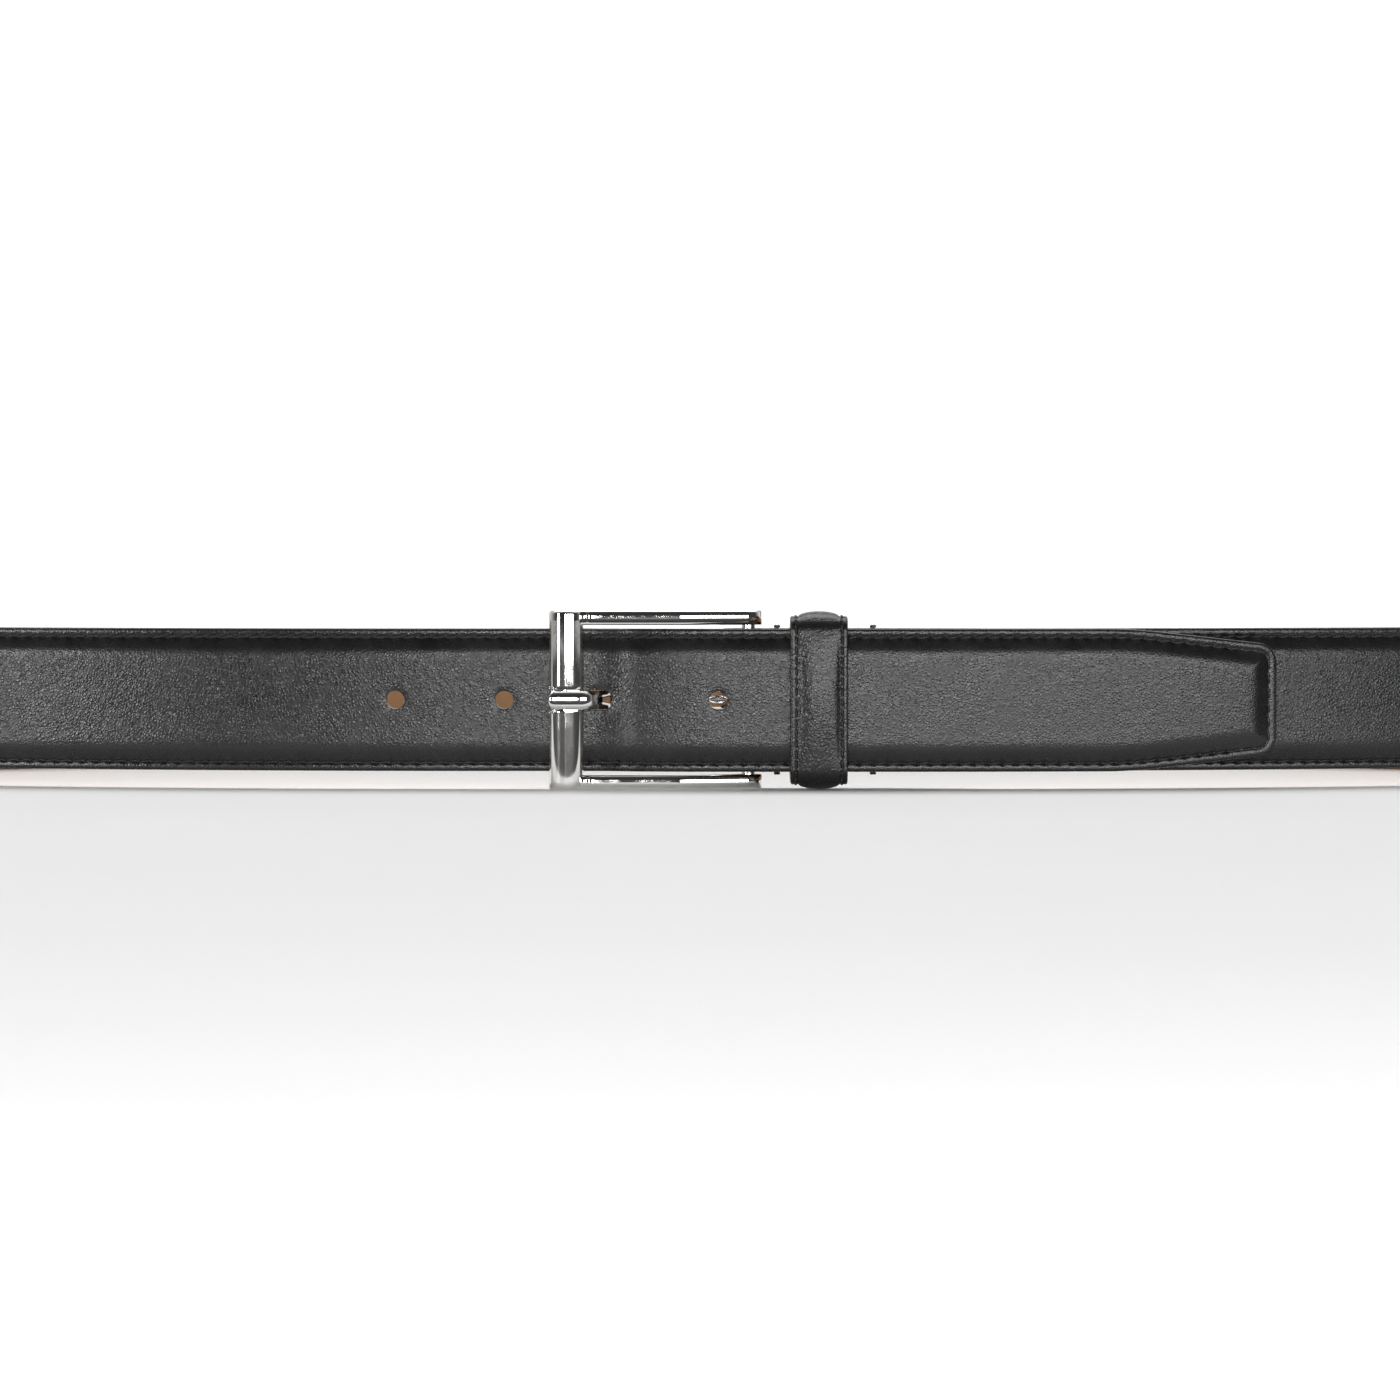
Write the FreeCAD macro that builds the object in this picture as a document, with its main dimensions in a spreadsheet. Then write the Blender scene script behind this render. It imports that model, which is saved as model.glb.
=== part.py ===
"""A gentleman's leather belt, buckled at its middle hole and standing on its lower edge.

The strap is one length of leather: it turns back round the buckle's hinge bar, runs once round the
waist, dips under the buckle's front bar and ends in a free tip that lies over its own start.
+X runs along the front of the belt towards the tip, -Y is the outward side of the front, +Z is up.
Shapes are drawn with the outer face of the front strap on y = 0, and each sub-part's Placement then
moves it so that the origin lies on the ground under the middle of the loop.
"""
import FreeCAD, Part
import math
import os
import Sketcher
from FreeCAD import Placement, Rotation, Vector

OUT_FOLDER = "parts"

# Driving dimensions in millimetres and degrees: alias, value, meaning.
DIMENSIONS = [
    ("strap_width", 33.0, "edge to edge"),
    ("outer_thick", 1.3, "black outer leather over the padding"),
    ("filler_thick", 1.2, "padding strip inside the strap"),
    ("lining_thick", 1.1, "tan lining leather"),
    ("margin_drop", 1.0, "flat stitched margin below the raised centre"),
    ("margin_wide", 3.0, "flat stitched margin"),
    ("filler_inset", 3.6, "edge of the strap to edge of the padding"),
    ("fold_thick", 2.3, "skived leather that turns back round the bar"),
    ("front_half", 50.0, "half the straight front"),
    ("front_radius", 440.0, "gentle curve either side of the straight front"),
    ("front_turn", 15.0, "angle of that curve"),
    ("end_radius", 50.0, "ends of the loop"),
    ("back_turn", 25.0, "half angle of the back curve"),
    ("ramp_start", -26.0, "strap leaves the front bar"),
    ("ramp_end", -5.0, "strap lies over its own start from here"),
    ("tip_gap", 0.3, "between the two layers of strap"),
    ("split_at", 46.0, "where the free tip starts to bend away"),
    ("split_gap", 0.6, "relief cut at the bend"),
    ("tip_at", 134.5, "end of the tip"),
    ("tip_taper", 6.3, "angle of the tapered sides"),
    ("taper_run", 24.0, "straight part of the taper"),
    ("taper_radius", 120.0, "rounding into the taper"),
    ("tip_corner", 4.6, "corner radius of the tip"),
    ("hole_radius", 2.1, "punched holes"),
    ("hinge_x", 11.2, "axis of the hinge bar"),
    ("hinge_y", 4.2, "axis of the hinge bar, behind the front face"),
    ("pin_radius", 1.5, "hinge bar"),
    ("fold_x", 9.0, "centre of the turn back"),
    ("turnback_end", 64.0, "end of the turned back tab"),
    ("slot_height", 6.4, "slot for the prong in the turn back"),
    ("slot_end", 16.0, "right end of that slot"),
    ("frame_height", 41.4, "buckle frame, top to bottom"),
    ("side_thick", 3.35, "side members of the frame"),
    ("bar_left", -34.8, "left side of the front bar"),
    ("bar_right", -26.9, "right side of the front bar"),
    ("bar_back", -0.3, "back of the front bar"),
    ("bar_wall", -1.5, "edge where the bar's crown starts"),
    ("bar_crown", -3.7, "top of the bar's crown"),
    ("side_front", -2.9, "outer face of the side members"),
    ("side_kink", -4.6, "where the side members slope back to the hinge"),
    ("side_back", 0.1, "back of the side members at the kink"),
    ("lug_radius", 3.1, "lugs that hold the hinge bar"),
    ("seat_floor", -2.3, "seat of the prong in the front bar"),
    ("seat_height", 5.2, "seat of the prong, top to bottom"),
    ("prong_wide", 4.3, "prong, top to bottom"),
    ("prong_thick", 1.9, "prong"),
    ("prong_tip", -34.9, "free end of the prong"),
    ("prong_bend", -27.6, "where the prong dives behind the strap"),
    ("prong_turn", 55.0, "angle of the dive"),
    ("prong_radius", 3.0, "radius of its two bends"),
    ("barrel_radius", 2.66, "curl of the prong round the bar"),
    ("barrel_wide", 5.0, "curl, top to bottom"),
    ("run_clearance", 0.06, "between the curl and the bar"),
    ("keeper_left", 20.8, "left edge of the keeper"),
    ("keeper_wide", 13.2, "keeper, left to right"),
    ("keeper_height", 34.8, "inside of the keeper, top to bottom"),
    ("keeper_front", -4.2, "inside of the keeper's front"),
    ("keeper_back", 3.9, "inside of the keeper's back"),
    ("keeper_lining", 0.9, "lining of the keeper"),
    ("keeper_flange", 2.0, "keeper at its stitched edges"),
    ("keeper_crown", 3.1, "keeper at its raised middle"),
    ("crown_wide", 8.6, "raised middle of the keeper"),
    ("padding_wide", 7.0, "padding inside the keeper"),
    ("keeper_corner", 1.6, "inside corners of the keeper"),
    ("seam_near", 17.8, "cross stitch between buckle and keeper"),
    ("seam_far", 40.0, "cross stitch beyond the keeper"),
    ("thread", 0.6, "width of a row of thread"),
    ("thread_proud", 0.35, "thread above the leather"),
    ("stitch_inset", 2.0, "edge of the strap to the row of thread"),
    ("tall", 120.0, "length of the construction prisms, upwards"),
    ("across", 480.0, "length of the construction prisms, sideways"),
]

doc = FreeCAD.newDocument("leather_belt")
sheet = doc.addObject("Spreadsheet::Sheet", "dims")
for row, (alias, value, meaning) in enumerate(DIMENSIONS, start=1):
    sheet.set(f"A{row}", alias)
    sheet.set(f"B{row}", str(value))
    sheet.set(f"C{row}", meaning)
    sheet.setAlias(f"B{row}", alias)
doc.recompute()
D = {alias: float(sheet.get(alias)) for alias, _, _ in DIMENSIONS}

# Places that follow from the driving dimensions.
STRAP_THICK = D["outer_thick"] + D["filler_thick"] + D["lining_thick"]
LINING_AT = D["outer_thick"] + D["filler_thick"]
TIP_Y = -(STRAP_THICK + D["tip_gap"])
MID_Z = D["frame_height"] / 2
FRONT_LIFT = MID_Z - D["strap_width"] / 2
HOLES_X = [-70.4, -45.2, 4.2, 29.2]
UNDER_TIP = TIP_Y + STRAP_THICK + 0.15
THREAD_DEPTHS = ((D["margin_drop"] - D["thread_proud"], D["margin_drop"] - 0.1),
                 (STRAP_THICK + 0.1, STRAP_THICK + 0.25))
FOLD_RADIUS = D["hinge_y"]
SKIVE_X = 16.5
FILLER_X = 19.0
STEP_LEFT, STEP_RIGHT = 44.0, 56.0
BACK_X = (D["front_half"] + D["front_radius"] * math.sin(math.radians(D["front_turn"]))
          + D["end_radius"] * (math.sin(math.radians(D["back_turn"]))
                               - math.sin(math.radians(D["front_turn"]))))
BACK_RADIUS = BACK_X / math.sin(math.radians(D["back_turn"]))
LOOP_DEPTH = (D["front_radius"] * (1 - math.cos(math.radians(D["front_turn"])))
              + D["end_radius"] * (math.cos(math.radians(D["front_turn"]))
                                   + math.cos(math.radians(D["back_turn"])))
              + BACK_RADIUS * (1 - math.cos(math.radians(D["back_turn"]))))
FRONT_MOST = D["keeper_front"] - D["keeper_crown"]
ORIGIN_SHIFT = Vector(0, -(FRONT_MOST + LOOP_DEPTH) / 2, 0)
# The lower edge comes down from the front to the ground between these two depths.
LIFT_ENDS = (20.0, 105.0)


# ---------------------------------------------------------------- paths, faces and prisms

def trace(start, heading, runs, offset=0.0):
    """Edges of a plan path of tangent straights and bends, moved `offset` to its left.

    A run is ("straight", length) or ("bend", radius, turn), where a positive turn goes left.
    """
    x, y, angle = start[0], start[1], math.radians(heading)
    edges = []
    for run in runs:
        left = (-math.sin(angle), math.cos(angle))
        if run[0] == "straight":
            ends = [(x, y), (x + run[1] * math.cos(angle), y + run[1] * math.sin(angle))]
            moved = [Vector(px + left[0] * offset, py + left[1] * offset, 0) for px, py in ends]
            edges.append(Part.LineSegment(*moved).toShape())
            x, y = ends[1]
            continue
        radius, turn = run[1], math.radians(run[2])
        side = 1 if turn > 0 else -1
        centre = (x + side * left[0] * radius, y + side * left[1] * radius)
        moved = []
        for share in (0.0, 0.5, 1.0):
            now = angle + turn * share
            reach = radius - side * offset
            moved.append(Vector(centre[0] + side * math.sin(now) * reach,
                                centre[1] - side * math.cos(now) * reach, 0))
        edges.append(Part.Arc(*moved).toShape())
        angle += turn
        x = centre[0] + side * math.sin(angle) * radius
        y = centre[1] - side * math.cos(angle) * radius
    return edges


def s_bend(rise, run):
    """Two equal and opposite bends that move a path `rise` to its right over `run`."""
    turn = 2 * math.degrees(math.atan(rise / run))
    radius = run / (2 * math.sin(math.radians(turn)))
    return [("bend", radius, -turn), ("bend", radius, turn)]


def band_face(start, heading, runs, near, far):
    """The face between two parallel lines at `near` and `far` to the left of a path."""
    one = trace(start, heading, runs, near)
    other = trace(start, heading, runs, far)
    first = Part.LineSegment(other[0].firstVertex(True).Point, one[0].firstVertex(True).Point)
    last = Part.LineSegment(one[-1].lastVertex(True).Point, other[-1].lastVertex(True).Point)
    loop = [first.toShape(), *one, last.toShape(), *reversed(other)]
    return Part.Face(Part.Wire(Part.__sortEdges__(loop)))


def feature(name, shape):
    """A document object that holds a construction shape."""
    made = doc.addObject("Part::Feature", name)
    made.Shape = shape
    return made


def prism(name, face, direction, length):
    """An extrusion of a face, both ways, with its length bound to a cell."""
    made = doc.addObject("Part::Extrusion", name)
    made.Base = face
    made.DirMode = "Custom"
    made.Dir = direction
    made.Symmetric = True
    made.Solid = True
    made.setExpression("LengthFwd", f"dims.{length}")
    return made


def common(name, base, tool):
    made = doc.addObject("Part::Common", name)
    made.Base, made.Tool = base, tool
    return made


def fuse(name, *shapes):
    made = doc.addObject("Part::MultiFuse", name)
    made.Shapes = list(shapes)
    made.Refine = True
    return made


def cut(name, base, *tools):
    """`base` less every tool."""
    for number, tool in enumerate(tools):
        made = doc.addObject("Part::Cut", name if number == len(tools) - 1 else f"{name}_{number}")
        made.Base, made.Tool = base, tool
        base = made
    return base


def box(name, low, high):
    """A Part::Box between two corners, given as numbers."""
    made = doc.addObject("Part::Box", name)
    made.Length, made.Width, made.Height = (high[i] - low[i] for i in range(3))
    made.Placement = Placement(Vector(*low), Rotation())
    return made


def slab_face(low, high):
    """Side view, at x = 0, of everything between two heights above the strap's lower edge."""
    near, far = LIFT_ENDS
    radius = ((far - near) ** 2 + FRONT_LIFT ** 2) / (4 * FRONT_LIFT)
    turn = math.asin((far - near) / (2 * radius)) / 2
    along, drop = radius * math.sin(turn), radius * (1 - math.cos(turn))

    def line(height):
        points = [Vector(0, -30, FRONT_LIFT + height), Vector(0, near, FRONT_LIFT + height),
                  Vector(0, near + along, FRONT_LIFT - drop + height),
                  Vector(0, (near + far) / 2, FRONT_LIFT / 2 + height),
                  Vector(0, far - along, drop + height), Vector(0, far, height),
                  Vector(0, LOOP_DEPTH + 20, height)]
        return points, [Part.LineSegment(points[0], points[1]).toShape(),
                        Part.Arc(points[1], points[2], points[3]).toShape(),
                        Part.Arc(points[3], points[4], points[5]).toShape(),
                        Part.LineSegment(points[5], points[6]).toShape()]

    lower_points, lower = line(low)
    upper_points, upper = line(high)
    sides = [Part.LineSegment(lower_points[k], upper_points[k]).toShape() for k in (0, -1)]
    return Part.Face(Part.Wire(Part.__sortEdges__([*lower, *upper, *sides])))


def slab(low, high):
    """The slab between two heights above the lower edge, made once for each pair of heights."""
    name = f"slab_{low:g}_{high:g}".replace(".", "p").replace("-", "m")
    made = doc.getObject(name)
    if made is None:
        made = prism(name, feature(name + "_face", slab_face(low, high)), Vector(1, 0, 0), "across")
    return made


def upright(name, start, heading, runs, depths, heights):
    """A length of strap: a plan band between two depths, kept between two heights."""
    plan = feature(name + "_plan", band_face(start, heading, runs, *depths))
    return common(name, prism(name + "_wall", plan, Vector(0, 0, 1), "tall"), slab(*heights))


def edges_where(shape, test):
    """Numbers, from 1, of the edges that pass a test."""
    return [number for number, edge in enumerate(shape.Edges, start=1) if test(edge)]


def runs_along(edge, axis):
    """True for a straight edge parallel to an axis."""
    if not isinstance(edge.Curve, Part.Line):
        return False
    return abs(abs(edge.tangentAt(edge.FirstParameter).dot(axis)) - 1) < 1e-6


def finished(made, label, at=Vector(0, 0, 0)):
    """Gives a sub-part its name and its place in the belt's frame."""
    made.Label = label
    made.Placement = Placement(ORIGIN_SHIFT + at, Rotation())
    SUB_PARTS.append(made)


SUB_PARTS = []


# ---------------------------------------------------------------- the strap's path

def loop_from(x, stop):
    """Start and runs of the strap, from x on the front, once round the waist, to `stop` on top."""
    ramp = s_bend(-TIP_Y, D["ramp_end"] - D["ramp_start"])
    ends = [("bend", D["end_radius"], 180 - D["front_turn"] - D["back_turn"])]
    gentle = [("bend", D["front_radius"], D["front_turn"])]
    runs = [("straight", D["front_half"] - x), *gentle, *ends,
            ("bend", BACK_RADIUS, 2 * D["back_turn"]), *ends, *gentle,
            ("straight", D["ramp_start"] + D["front_half"]), *ramp,
            ("straight", stop - D["ramp_end"])]
    return (x, 0.0), 0.0, runs


def turn_back_to(x):
    """Start and runs of the tab and the turn round the hinge bar, as far as x on the front."""
    outer_y = D["hinge_y"] + FOLD_RADIUS
    resting_y = STRAP_THICK + D["fold_thick"] + 0.5
    step = s_bend(outer_y - resting_y, STEP_RIGHT - STEP_LEFT)
    runs = [("straight", D["turnback_end"] - STEP_RIGHT), *step, ("straight", STEP_LEFT - D["fold_x"]),
            ("bend", FOLD_RADIUS, 180.0), ("straight", x - D["fold_x"])]
    return (D["turnback_end"], resting_y), 180.0, runs


def tip_run():
    """Start and runs of the free tip, past its end."""
    start = D["split_at"] + D["split_gap"] / 2
    return (start, TIP_Y), 0.0, [("straight", D["front_half"] - start),
                                 ("bend", D["front_radius"] - TIP_Y, D["front_turn"])]


def tip_outline(inset):
    """Front view of the tip, in x and height above its lower edge, inset all round but at its start."""
    start = D["split_at"] + D["split_gap"] / 2
    taper = math.radians(D["tip_taper"])
    across = (D["taper_radius"] * math.sin(taper) + D["taper_run"] * math.cos(taper)
              + D["tip_corner"] * (1 - math.sin(taper)))
    rise = (D["taper_radius"] * (1 - math.cos(taper)) + D["taper_run"] * math.sin(taper)
            + D["tip_corner"] * math.cos(taper))
    side = [("straight", D["tip_at"] - start - across), ("bend", D["taper_radius"], D["tip_taper"]),
            ("straight", D["taper_run"]), ("bend", D["tip_corner"], 90 - D["tip_taper"])]
    runs = [*side, ("straight", D["strap_width"] - 2 * rise), *reversed(side)]
    edges = trace((start, 0.0), 0.0, runs, inset)
    close = Part.LineSegment(edges[-1].lastVertex(True).Point, edges[0].firstVertex(True).Point)
    face = Part.Face(Part.Wire(Part.__sortEdges__([*edges, close.toShape()])))
    face.rotate(Vector(0, 0, 0), Vector(1, 0, 0), 90)
    face.translate(Vector(0, 0, FRONT_LIFT))
    return face


def tip_layer(name, depths, inset):
    """A layer of the tip between two depths, cut to the tip's outline less an inset."""
    start, heading, runs = tip_run()
    plan = feature(name + "_plan", band_face(start, heading, runs, *depths))
    outline = feature(name + "_outline", tip_outline(inset))
    return common(name, prism(name + "_wall", plan, Vector(0, 0, 1), "tall"),
                  prism(name + "_cutter", outline, Vector(0, 1, 0), "across"))


def prong_path():
    """Start and runs of the prong's middle line, from its tip to the hinge axis."""
    start_y = D["seat_floor"] - 0.05 - D["prong_thick"] / 2
    turn, radius = math.radians(D["prong_turn"]), D["prong_radius"]
    slope = (D["hinge_y"] - start_y - 2 * radius * (1 - math.cos(turn))) / math.sin(turn)
    across = 2 * radius * math.sin(turn) + slope * math.cos(turn)
    runs = [("straight", D["prong_bend"] - D["prong_tip"]), ("bend", radius, D["prong_turn"]),
            ("straight", slope), ("bend", radius, -D["prong_turn"]),
            ("straight", D["hinge_x"] - D["prong_bend"] - across)]
    return (D["prong_tip"], start_y), 0.0, runs


# ---------------------------------------------------------------- strap and tip

def punched_holes():
    """Cutters of the round holes; those beside the keeper stop between the two layers of strap."""
    made = []
    for number, x in enumerate(HOLES_X, start=1):
        hole = doc.addObject("Part::Cylinder", f"hole_{number}")
        hole.setExpression("Radius", "dims.hole_radius")
        hole.Height = 20
        behind = 10 if x < D["ramp_start"] else UNDER_TIP
        hole.Placement = Placement(Vector(x, behind, MID_Z), Rotation(Vector(1, 0, 0), 90))
        made.append(hole)
    return fuse("punched_holes", *made)


def used_hole():
    """Cutter of the hole in use, drawn out along the prong's dive with room for its swing."""
    start, heading, runs = prong_path()
    beside = D["prong_thick"] / 2 + 0.3
    reach = [*runs[:-1], ("straight", 4.5)]
    face = feature("used_hole_face", band_face(start, heading, reach, -beside - 1.6, beside))
    height = box("used_hole_height", (-30, -12, MID_Z - 2.4), (-8, 12, MID_Z + 2.4))
    return common("used_hole", prism("used_hole_wall", face, Vector(0, 0, 1), "tall"), height)


def turn_back_slot():
    """Cutter of the long slot that lets the prong's curl through the turn back."""
    half, behind = D["slot_height"] / 2, 9.0
    middle = box("slot_middle", (2, UNDER_TIP, MID_Z - half),
                 (D["slot_end"] - half, behind, MID_Z + half))
    end = doc.addObject("Part::Cylinder", "slot_round")
    end.setExpression("Radius", "dims.slot_height / 2")
    end.Height = behind - UNDER_TIP
    end.Placement = Placement(Vector(D["slot_end"] - half, behind, MID_Z), Rotation(Vector(1, 0, 0), 90))
    return fuse("turn_back_slot", middle, end)


def make_strap():
    """Outer leather with its turned back tab, padding, lining and the two rows of edge thread."""
    width, stop = D["strap_width"], D["split_at"] - D["split_gap"] / 2
    holes, hole_in_use, slot = punched_holes(), used_hole(), turn_back_slot()
    whole, short = loop_from(SKIVE_X, stop), loop_from(FILLER_X, stop)
    padding = upright("padding_band", *short, (D["outer_thick"], LINING_AT),
                      (D["filler_inset"], width - D["filler_inset"]))
    raised = upright("raised_band", *whole, (0, LINING_AT), (D["margin_wide"], width - D["margin_wide"]))
    margins = upright("margin_band", *whole, (D["margin_drop"], LINING_AT), (0, width))
    turned = upright("turned_band", *turn_back_to(SKIVE_X), (0, D["fold_thick"]), (0, width))
    outer = fuse("outer_band", turned, margins, raised)
    finished(cut("outer_cut", outer, padding, holes, hole_in_use, slot), "strap_outer_leather")
    finished(cut("filler_cut", padding, holes, hole_in_use), "strap_filler")
    lining = upright("lining_band", *whole, (LINING_AT, STRAP_THICK), (0, width))
    finished(cut("lining_cut", lining, holes, hole_in_use), "strap_lining")
    for label, middle in (("lower_edge_stitching", D["stitch_inset"]),
                          ("upper_edge_stitching", width - D["stitch_inset"])):
        heights = (middle - D["thread"] / 2, middle + D["thread"] / 2)
        face_depths, back_depths = THREAD_DEPTHS
        face = upright(label + "_face", *short, face_depths, heights)
        back = upright(label + "_back", *short, back_depths, heights)
        finished(fuse(label + "_rows", face, back), label)


def make_tip():
    """The free tip past the relief cut: leather, padding, lining and its thread."""
    padding_depths = (D["outer_thick"], LINING_AT)
    padding = tip_layer("tip_pocket", padding_depths, D["filler_inset"])
    raised = tip_layer("tip_raised", (0, LINING_AT), D["margin_wide"])
    margins = tip_layer("tip_margins", (D["margin_drop"], LINING_AT), 0.0)
    finished(cut("tip_outer", fuse("tip_band", margins, raised), padding), "tip_outer_leather")
    finished(tip_layer("tip_padding", padding_depths, D["filler_inset"]), "tip_filler")
    finished(tip_layer("tip_backing", (LINING_AT, STRAP_THICK), 0.0), "tip_lining")
    rows = []
    for name, depths in zip(("face", "back"), THREAD_DEPTHS):
        outside = tip_layer(f"thread_{name}", depths, D["stitch_inset"] - D["thread"] / 2)
        inside = tip_layer(f"thread_{name}_inside", depths, D["stitch_inset"] + D["thread"] / 2)
        rows.append(cut(f"thread_{name}_row", outside, inside))
    finished(fuse("tip_thread", *rows), "tip_stitching")


def make_cross_stitch(label, x):
    """Thread across the tab that passes over both edges of the strap and hooks into its margin."""
    half, back, front = D["strap_width"] / 2, D["hinge_y"] + FOLD_RADIUS, D["margin_drop"]
    left, right = x - D["thread"] / 2, x + D["thread"] / 2
    outside = box(label + "_outside", (left, front - 0.4, MID_Z - half - 0.65),
                  (right, back + 0.4, MID_Z + half + 0.65))
    inside = box(label + "_inside", (left - 1, front, MID_Z - half - 0.05),
                 (right + 1, back, MID_Z + half + 0.05))
    window = box(label + "_window", (left - 1, front - 1, MID_Z - half + 1.4),
                 (right + 1, front, MID_Z + half - 1.4))
    finished(cut(label + "_thread", outside, inside, window), label)


# ---------------------------------------------------------------- buckle

def value_of(text):
    """The value of an expression of the sheet's cells, worked out as the document does."""
    return float(sheet.evalExpression(text.replace("dims.", "")))


def new_sketch(body, name):
    """An empty sketch on the body's XY plane."""
    sketch = body.newObject("Sketcher::SketchObject", name)
    plane = next(f for f in body.Origin.OriginFeatures if f.Role == "XY_Plane")
    sketch.AttachmentSupport = [(plane, "")]
    sketch.MapMode = "FlatFace"
    return sketch


def drive(sketch, text, *constraint):
    """Adds a constraint whose value is an expression of the sheet's cells."""
    index = sketch.addConstraint(Sketcher.Constraint(*constraint, value_of(text)))
    sketch.setExpression(f"Constraints[{index}]", text)


def draw_outline(body, name, corners, arc=None):
    """A closed outline; each corner is two expressions.

    `arc` is (number, x, y, radius): that side is an arc through (x, y), all three as expressions.
    """
    sketch = new_sketch(body, name)
    places = [Vector(value_of(x), value_of(y), 0) for x, y in corners]
    for number, place in enumerate(places):
        following = places[(number + 1) % len(places)]
        if arc and number == arc[0]:
            sketch.addGeometry(Part.Arc(place, Vector(value_of(arc[1]), value_of(arc[2]), 0), following))
        else:
            sketch.addGeometry(Part.LineSegment(place, following), False)
    for number, (x, y) in enumerate(corners):
        sketch.addConstraint(Sketcher.Constraint("Coincident", number, 2, (number + 1) % len(places), 1))
        drive(sketch, x, "DistanceX", number, 1)
        drive(sketch, y, "DistanceY", number, 1)
    if arc:
        drive(sketch, arc[3], "Radius", arc[0])
    return sketch


def draw_circle(body, name, x, y, radius):
    """A circle whose centre and radius are expressions."""
    sketch = new_sketch(body, name)
    centre = Vector(value_of(x), value_of(y), 0)
    sketch.addGeometry(Part.Circle(centre, Vector(0, 0, 1), value_of(radius)), False)
    drive(sketch, x, "DistanceX", 0, 3)
    drive(sketch, y, "DistanceY", 0, 3)
    drive(sketch, radius, "Radius", 0)
    return sketch


def grow(body, kind, name, sketch, length):
    """A Pad or Pocket the same distance above and below its sketch, its length an expression."""
    made = body.newObject("PartDesign::" + kind, name)
    made.Profile = sketch
    made.Type = "Length"
    made.SideType = "Symmetric"
    made.setExpression("Length", length)
    doc.recompute()
    return made


def make_frame():
    """The cast frame: crowned front bar with the prong's seat, two side members and their lugs."""
    body = doc.addObject("PartDesign::Body", "frame_body")
    rise = "(dims.bar_wall - dims.bar_crown)"
    crown = f"((dims.bar_right - dims.bar_left) ^ 2 / 4 + {rise} ^ 2) / (2 * {rise})"
    bar = draw_outline(body, "bar_section", [("dims.bar_left", "dims.bar_back"),
                                             ("dims.bar_left", "dims.bar_wall"),
                                             ("dims.bar_right", "dims.bar_wall"),
                                             ("dims.bar_right", "dims.bar_back")],
                       (1, "(dims.bar_left + dims.bar_right) / 2", "dims.bar_crown", crown))
    grow(body, "Pad", "front_bar", bar, "dims.frame_height")
    side = draw_outline(body, "side_section", [("dims.bar_right - 2", "dims.bar_back"),
                                               ("dims.bar_right - 2", "dims.side_front + 0.1"),
                                               ("dims.bar_right + 1.7", "dims.side_front"),
                                               ("dims.side_kink", "dims.side_front"),
                                               ("dims.hinge_x + 0.753", "dims.hinge_y - 3.007"),
                                               ("dims.hinge_x", "dims.hinge_y"),
                                               ("dims.hinge_x - 2.9", "dims.hinge_y + 1"),
                                               ("dims.side_kink", "dims.side_back")])
    grow(body, "Pad", "side_members", side, "dims.frame_height")
    lug = draw_circle(body, "lug_circle", "dims.hinge_x", "dims.hinge_y", "dims.lug_radius")
    grow(body, "Pad", "lugs", lug, "dims.frame_height")
    window = draw_outline(body, "window_outline", [("dims.bar_right", "dims.hinge_y + 6"),
                                                   ("dims.bar_right", "dims.bar_crown - 2"),
                                                   ("dims.hinge_x + 6", "dims.bar_crown - 2"),
                                                   ("dims.hinge_x + 6", "dims.hinge_y + 6")])
    grow(body, "Pocket", "window", window, "dims.frame_height - 2 * dims.side_thick")
    seat = draw_outline(body, "seat_outline", [("dims.bar_left - 2", "dims.seat_floor"),
                                               ("dims.bar_left - 2", "dims.bar_crown - 2"),
                                               ("dims.bar_right + 2", "dims.bar_crown - 2"),
                                               ("dims.bar_right + 2", "dims.seat_floor + 1.6"),
                                               ("dims.bar_right - 0.9", "dims.seat_floor")])
    grow(body, "Pocket", "prong_seat", seat, "dims.seat_height")
    pin = draw_circle(body, "pin_circle", "dims.hinge_x", "dims.hinge_y", "dims.pin_radius")
    drilled = grow(body, "Pocket", "pin_holes", pin, "dims.frame_height")
    half = D["frame_height"] / 2

    def front_of_end(edge):
        middle = edge.CenterOfMass
        on_end = abs(abs(middle.z) - half) < 0.01
        on_crown = edge.Length > 6 and middle.y < -2.5 and middle.x < D["bar_right"]
        return on_end and (on_crown or edge.Length > 15 and middle.y < -0.5)

    rounded = body.newObject("PartDesign::Fillet", "rounded_ends")
    rounded.Base = (drilled, [f"Edge{n}" for n in edges_where(drilled.Shape, front_of_end)])
    rounded.Radius = 0.6
    finished(body, "buckle_frame", Vector(0, 0, MID_Z))


def cylinder(name, radius, height, at):
    """An upright Part::Cylinder whose radius and height are expressions."""
    made = doc.addObject("Part::Cylinder", name)
    made.setExpression("Radius", radius)
    made.setExpression("Height", height)
    made.Placement = Placement(at, Rotation())
    return made


def round_edges(name, base, chosen):
    """A Part::Fillet; `chosen` takes an edge and gives its radius, or None to leave it sharp."""
    doc.recompute()
    made = doc.addObject("Part::Fillet", name)
    made.Base = base
    sizes = [(number, chosen(edge)) for number, edge in enumerate(base.Shape.Edges, start=1)]
    made.Edges = [(number, size, size) for number, size in sizes if size]
    return made


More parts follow.
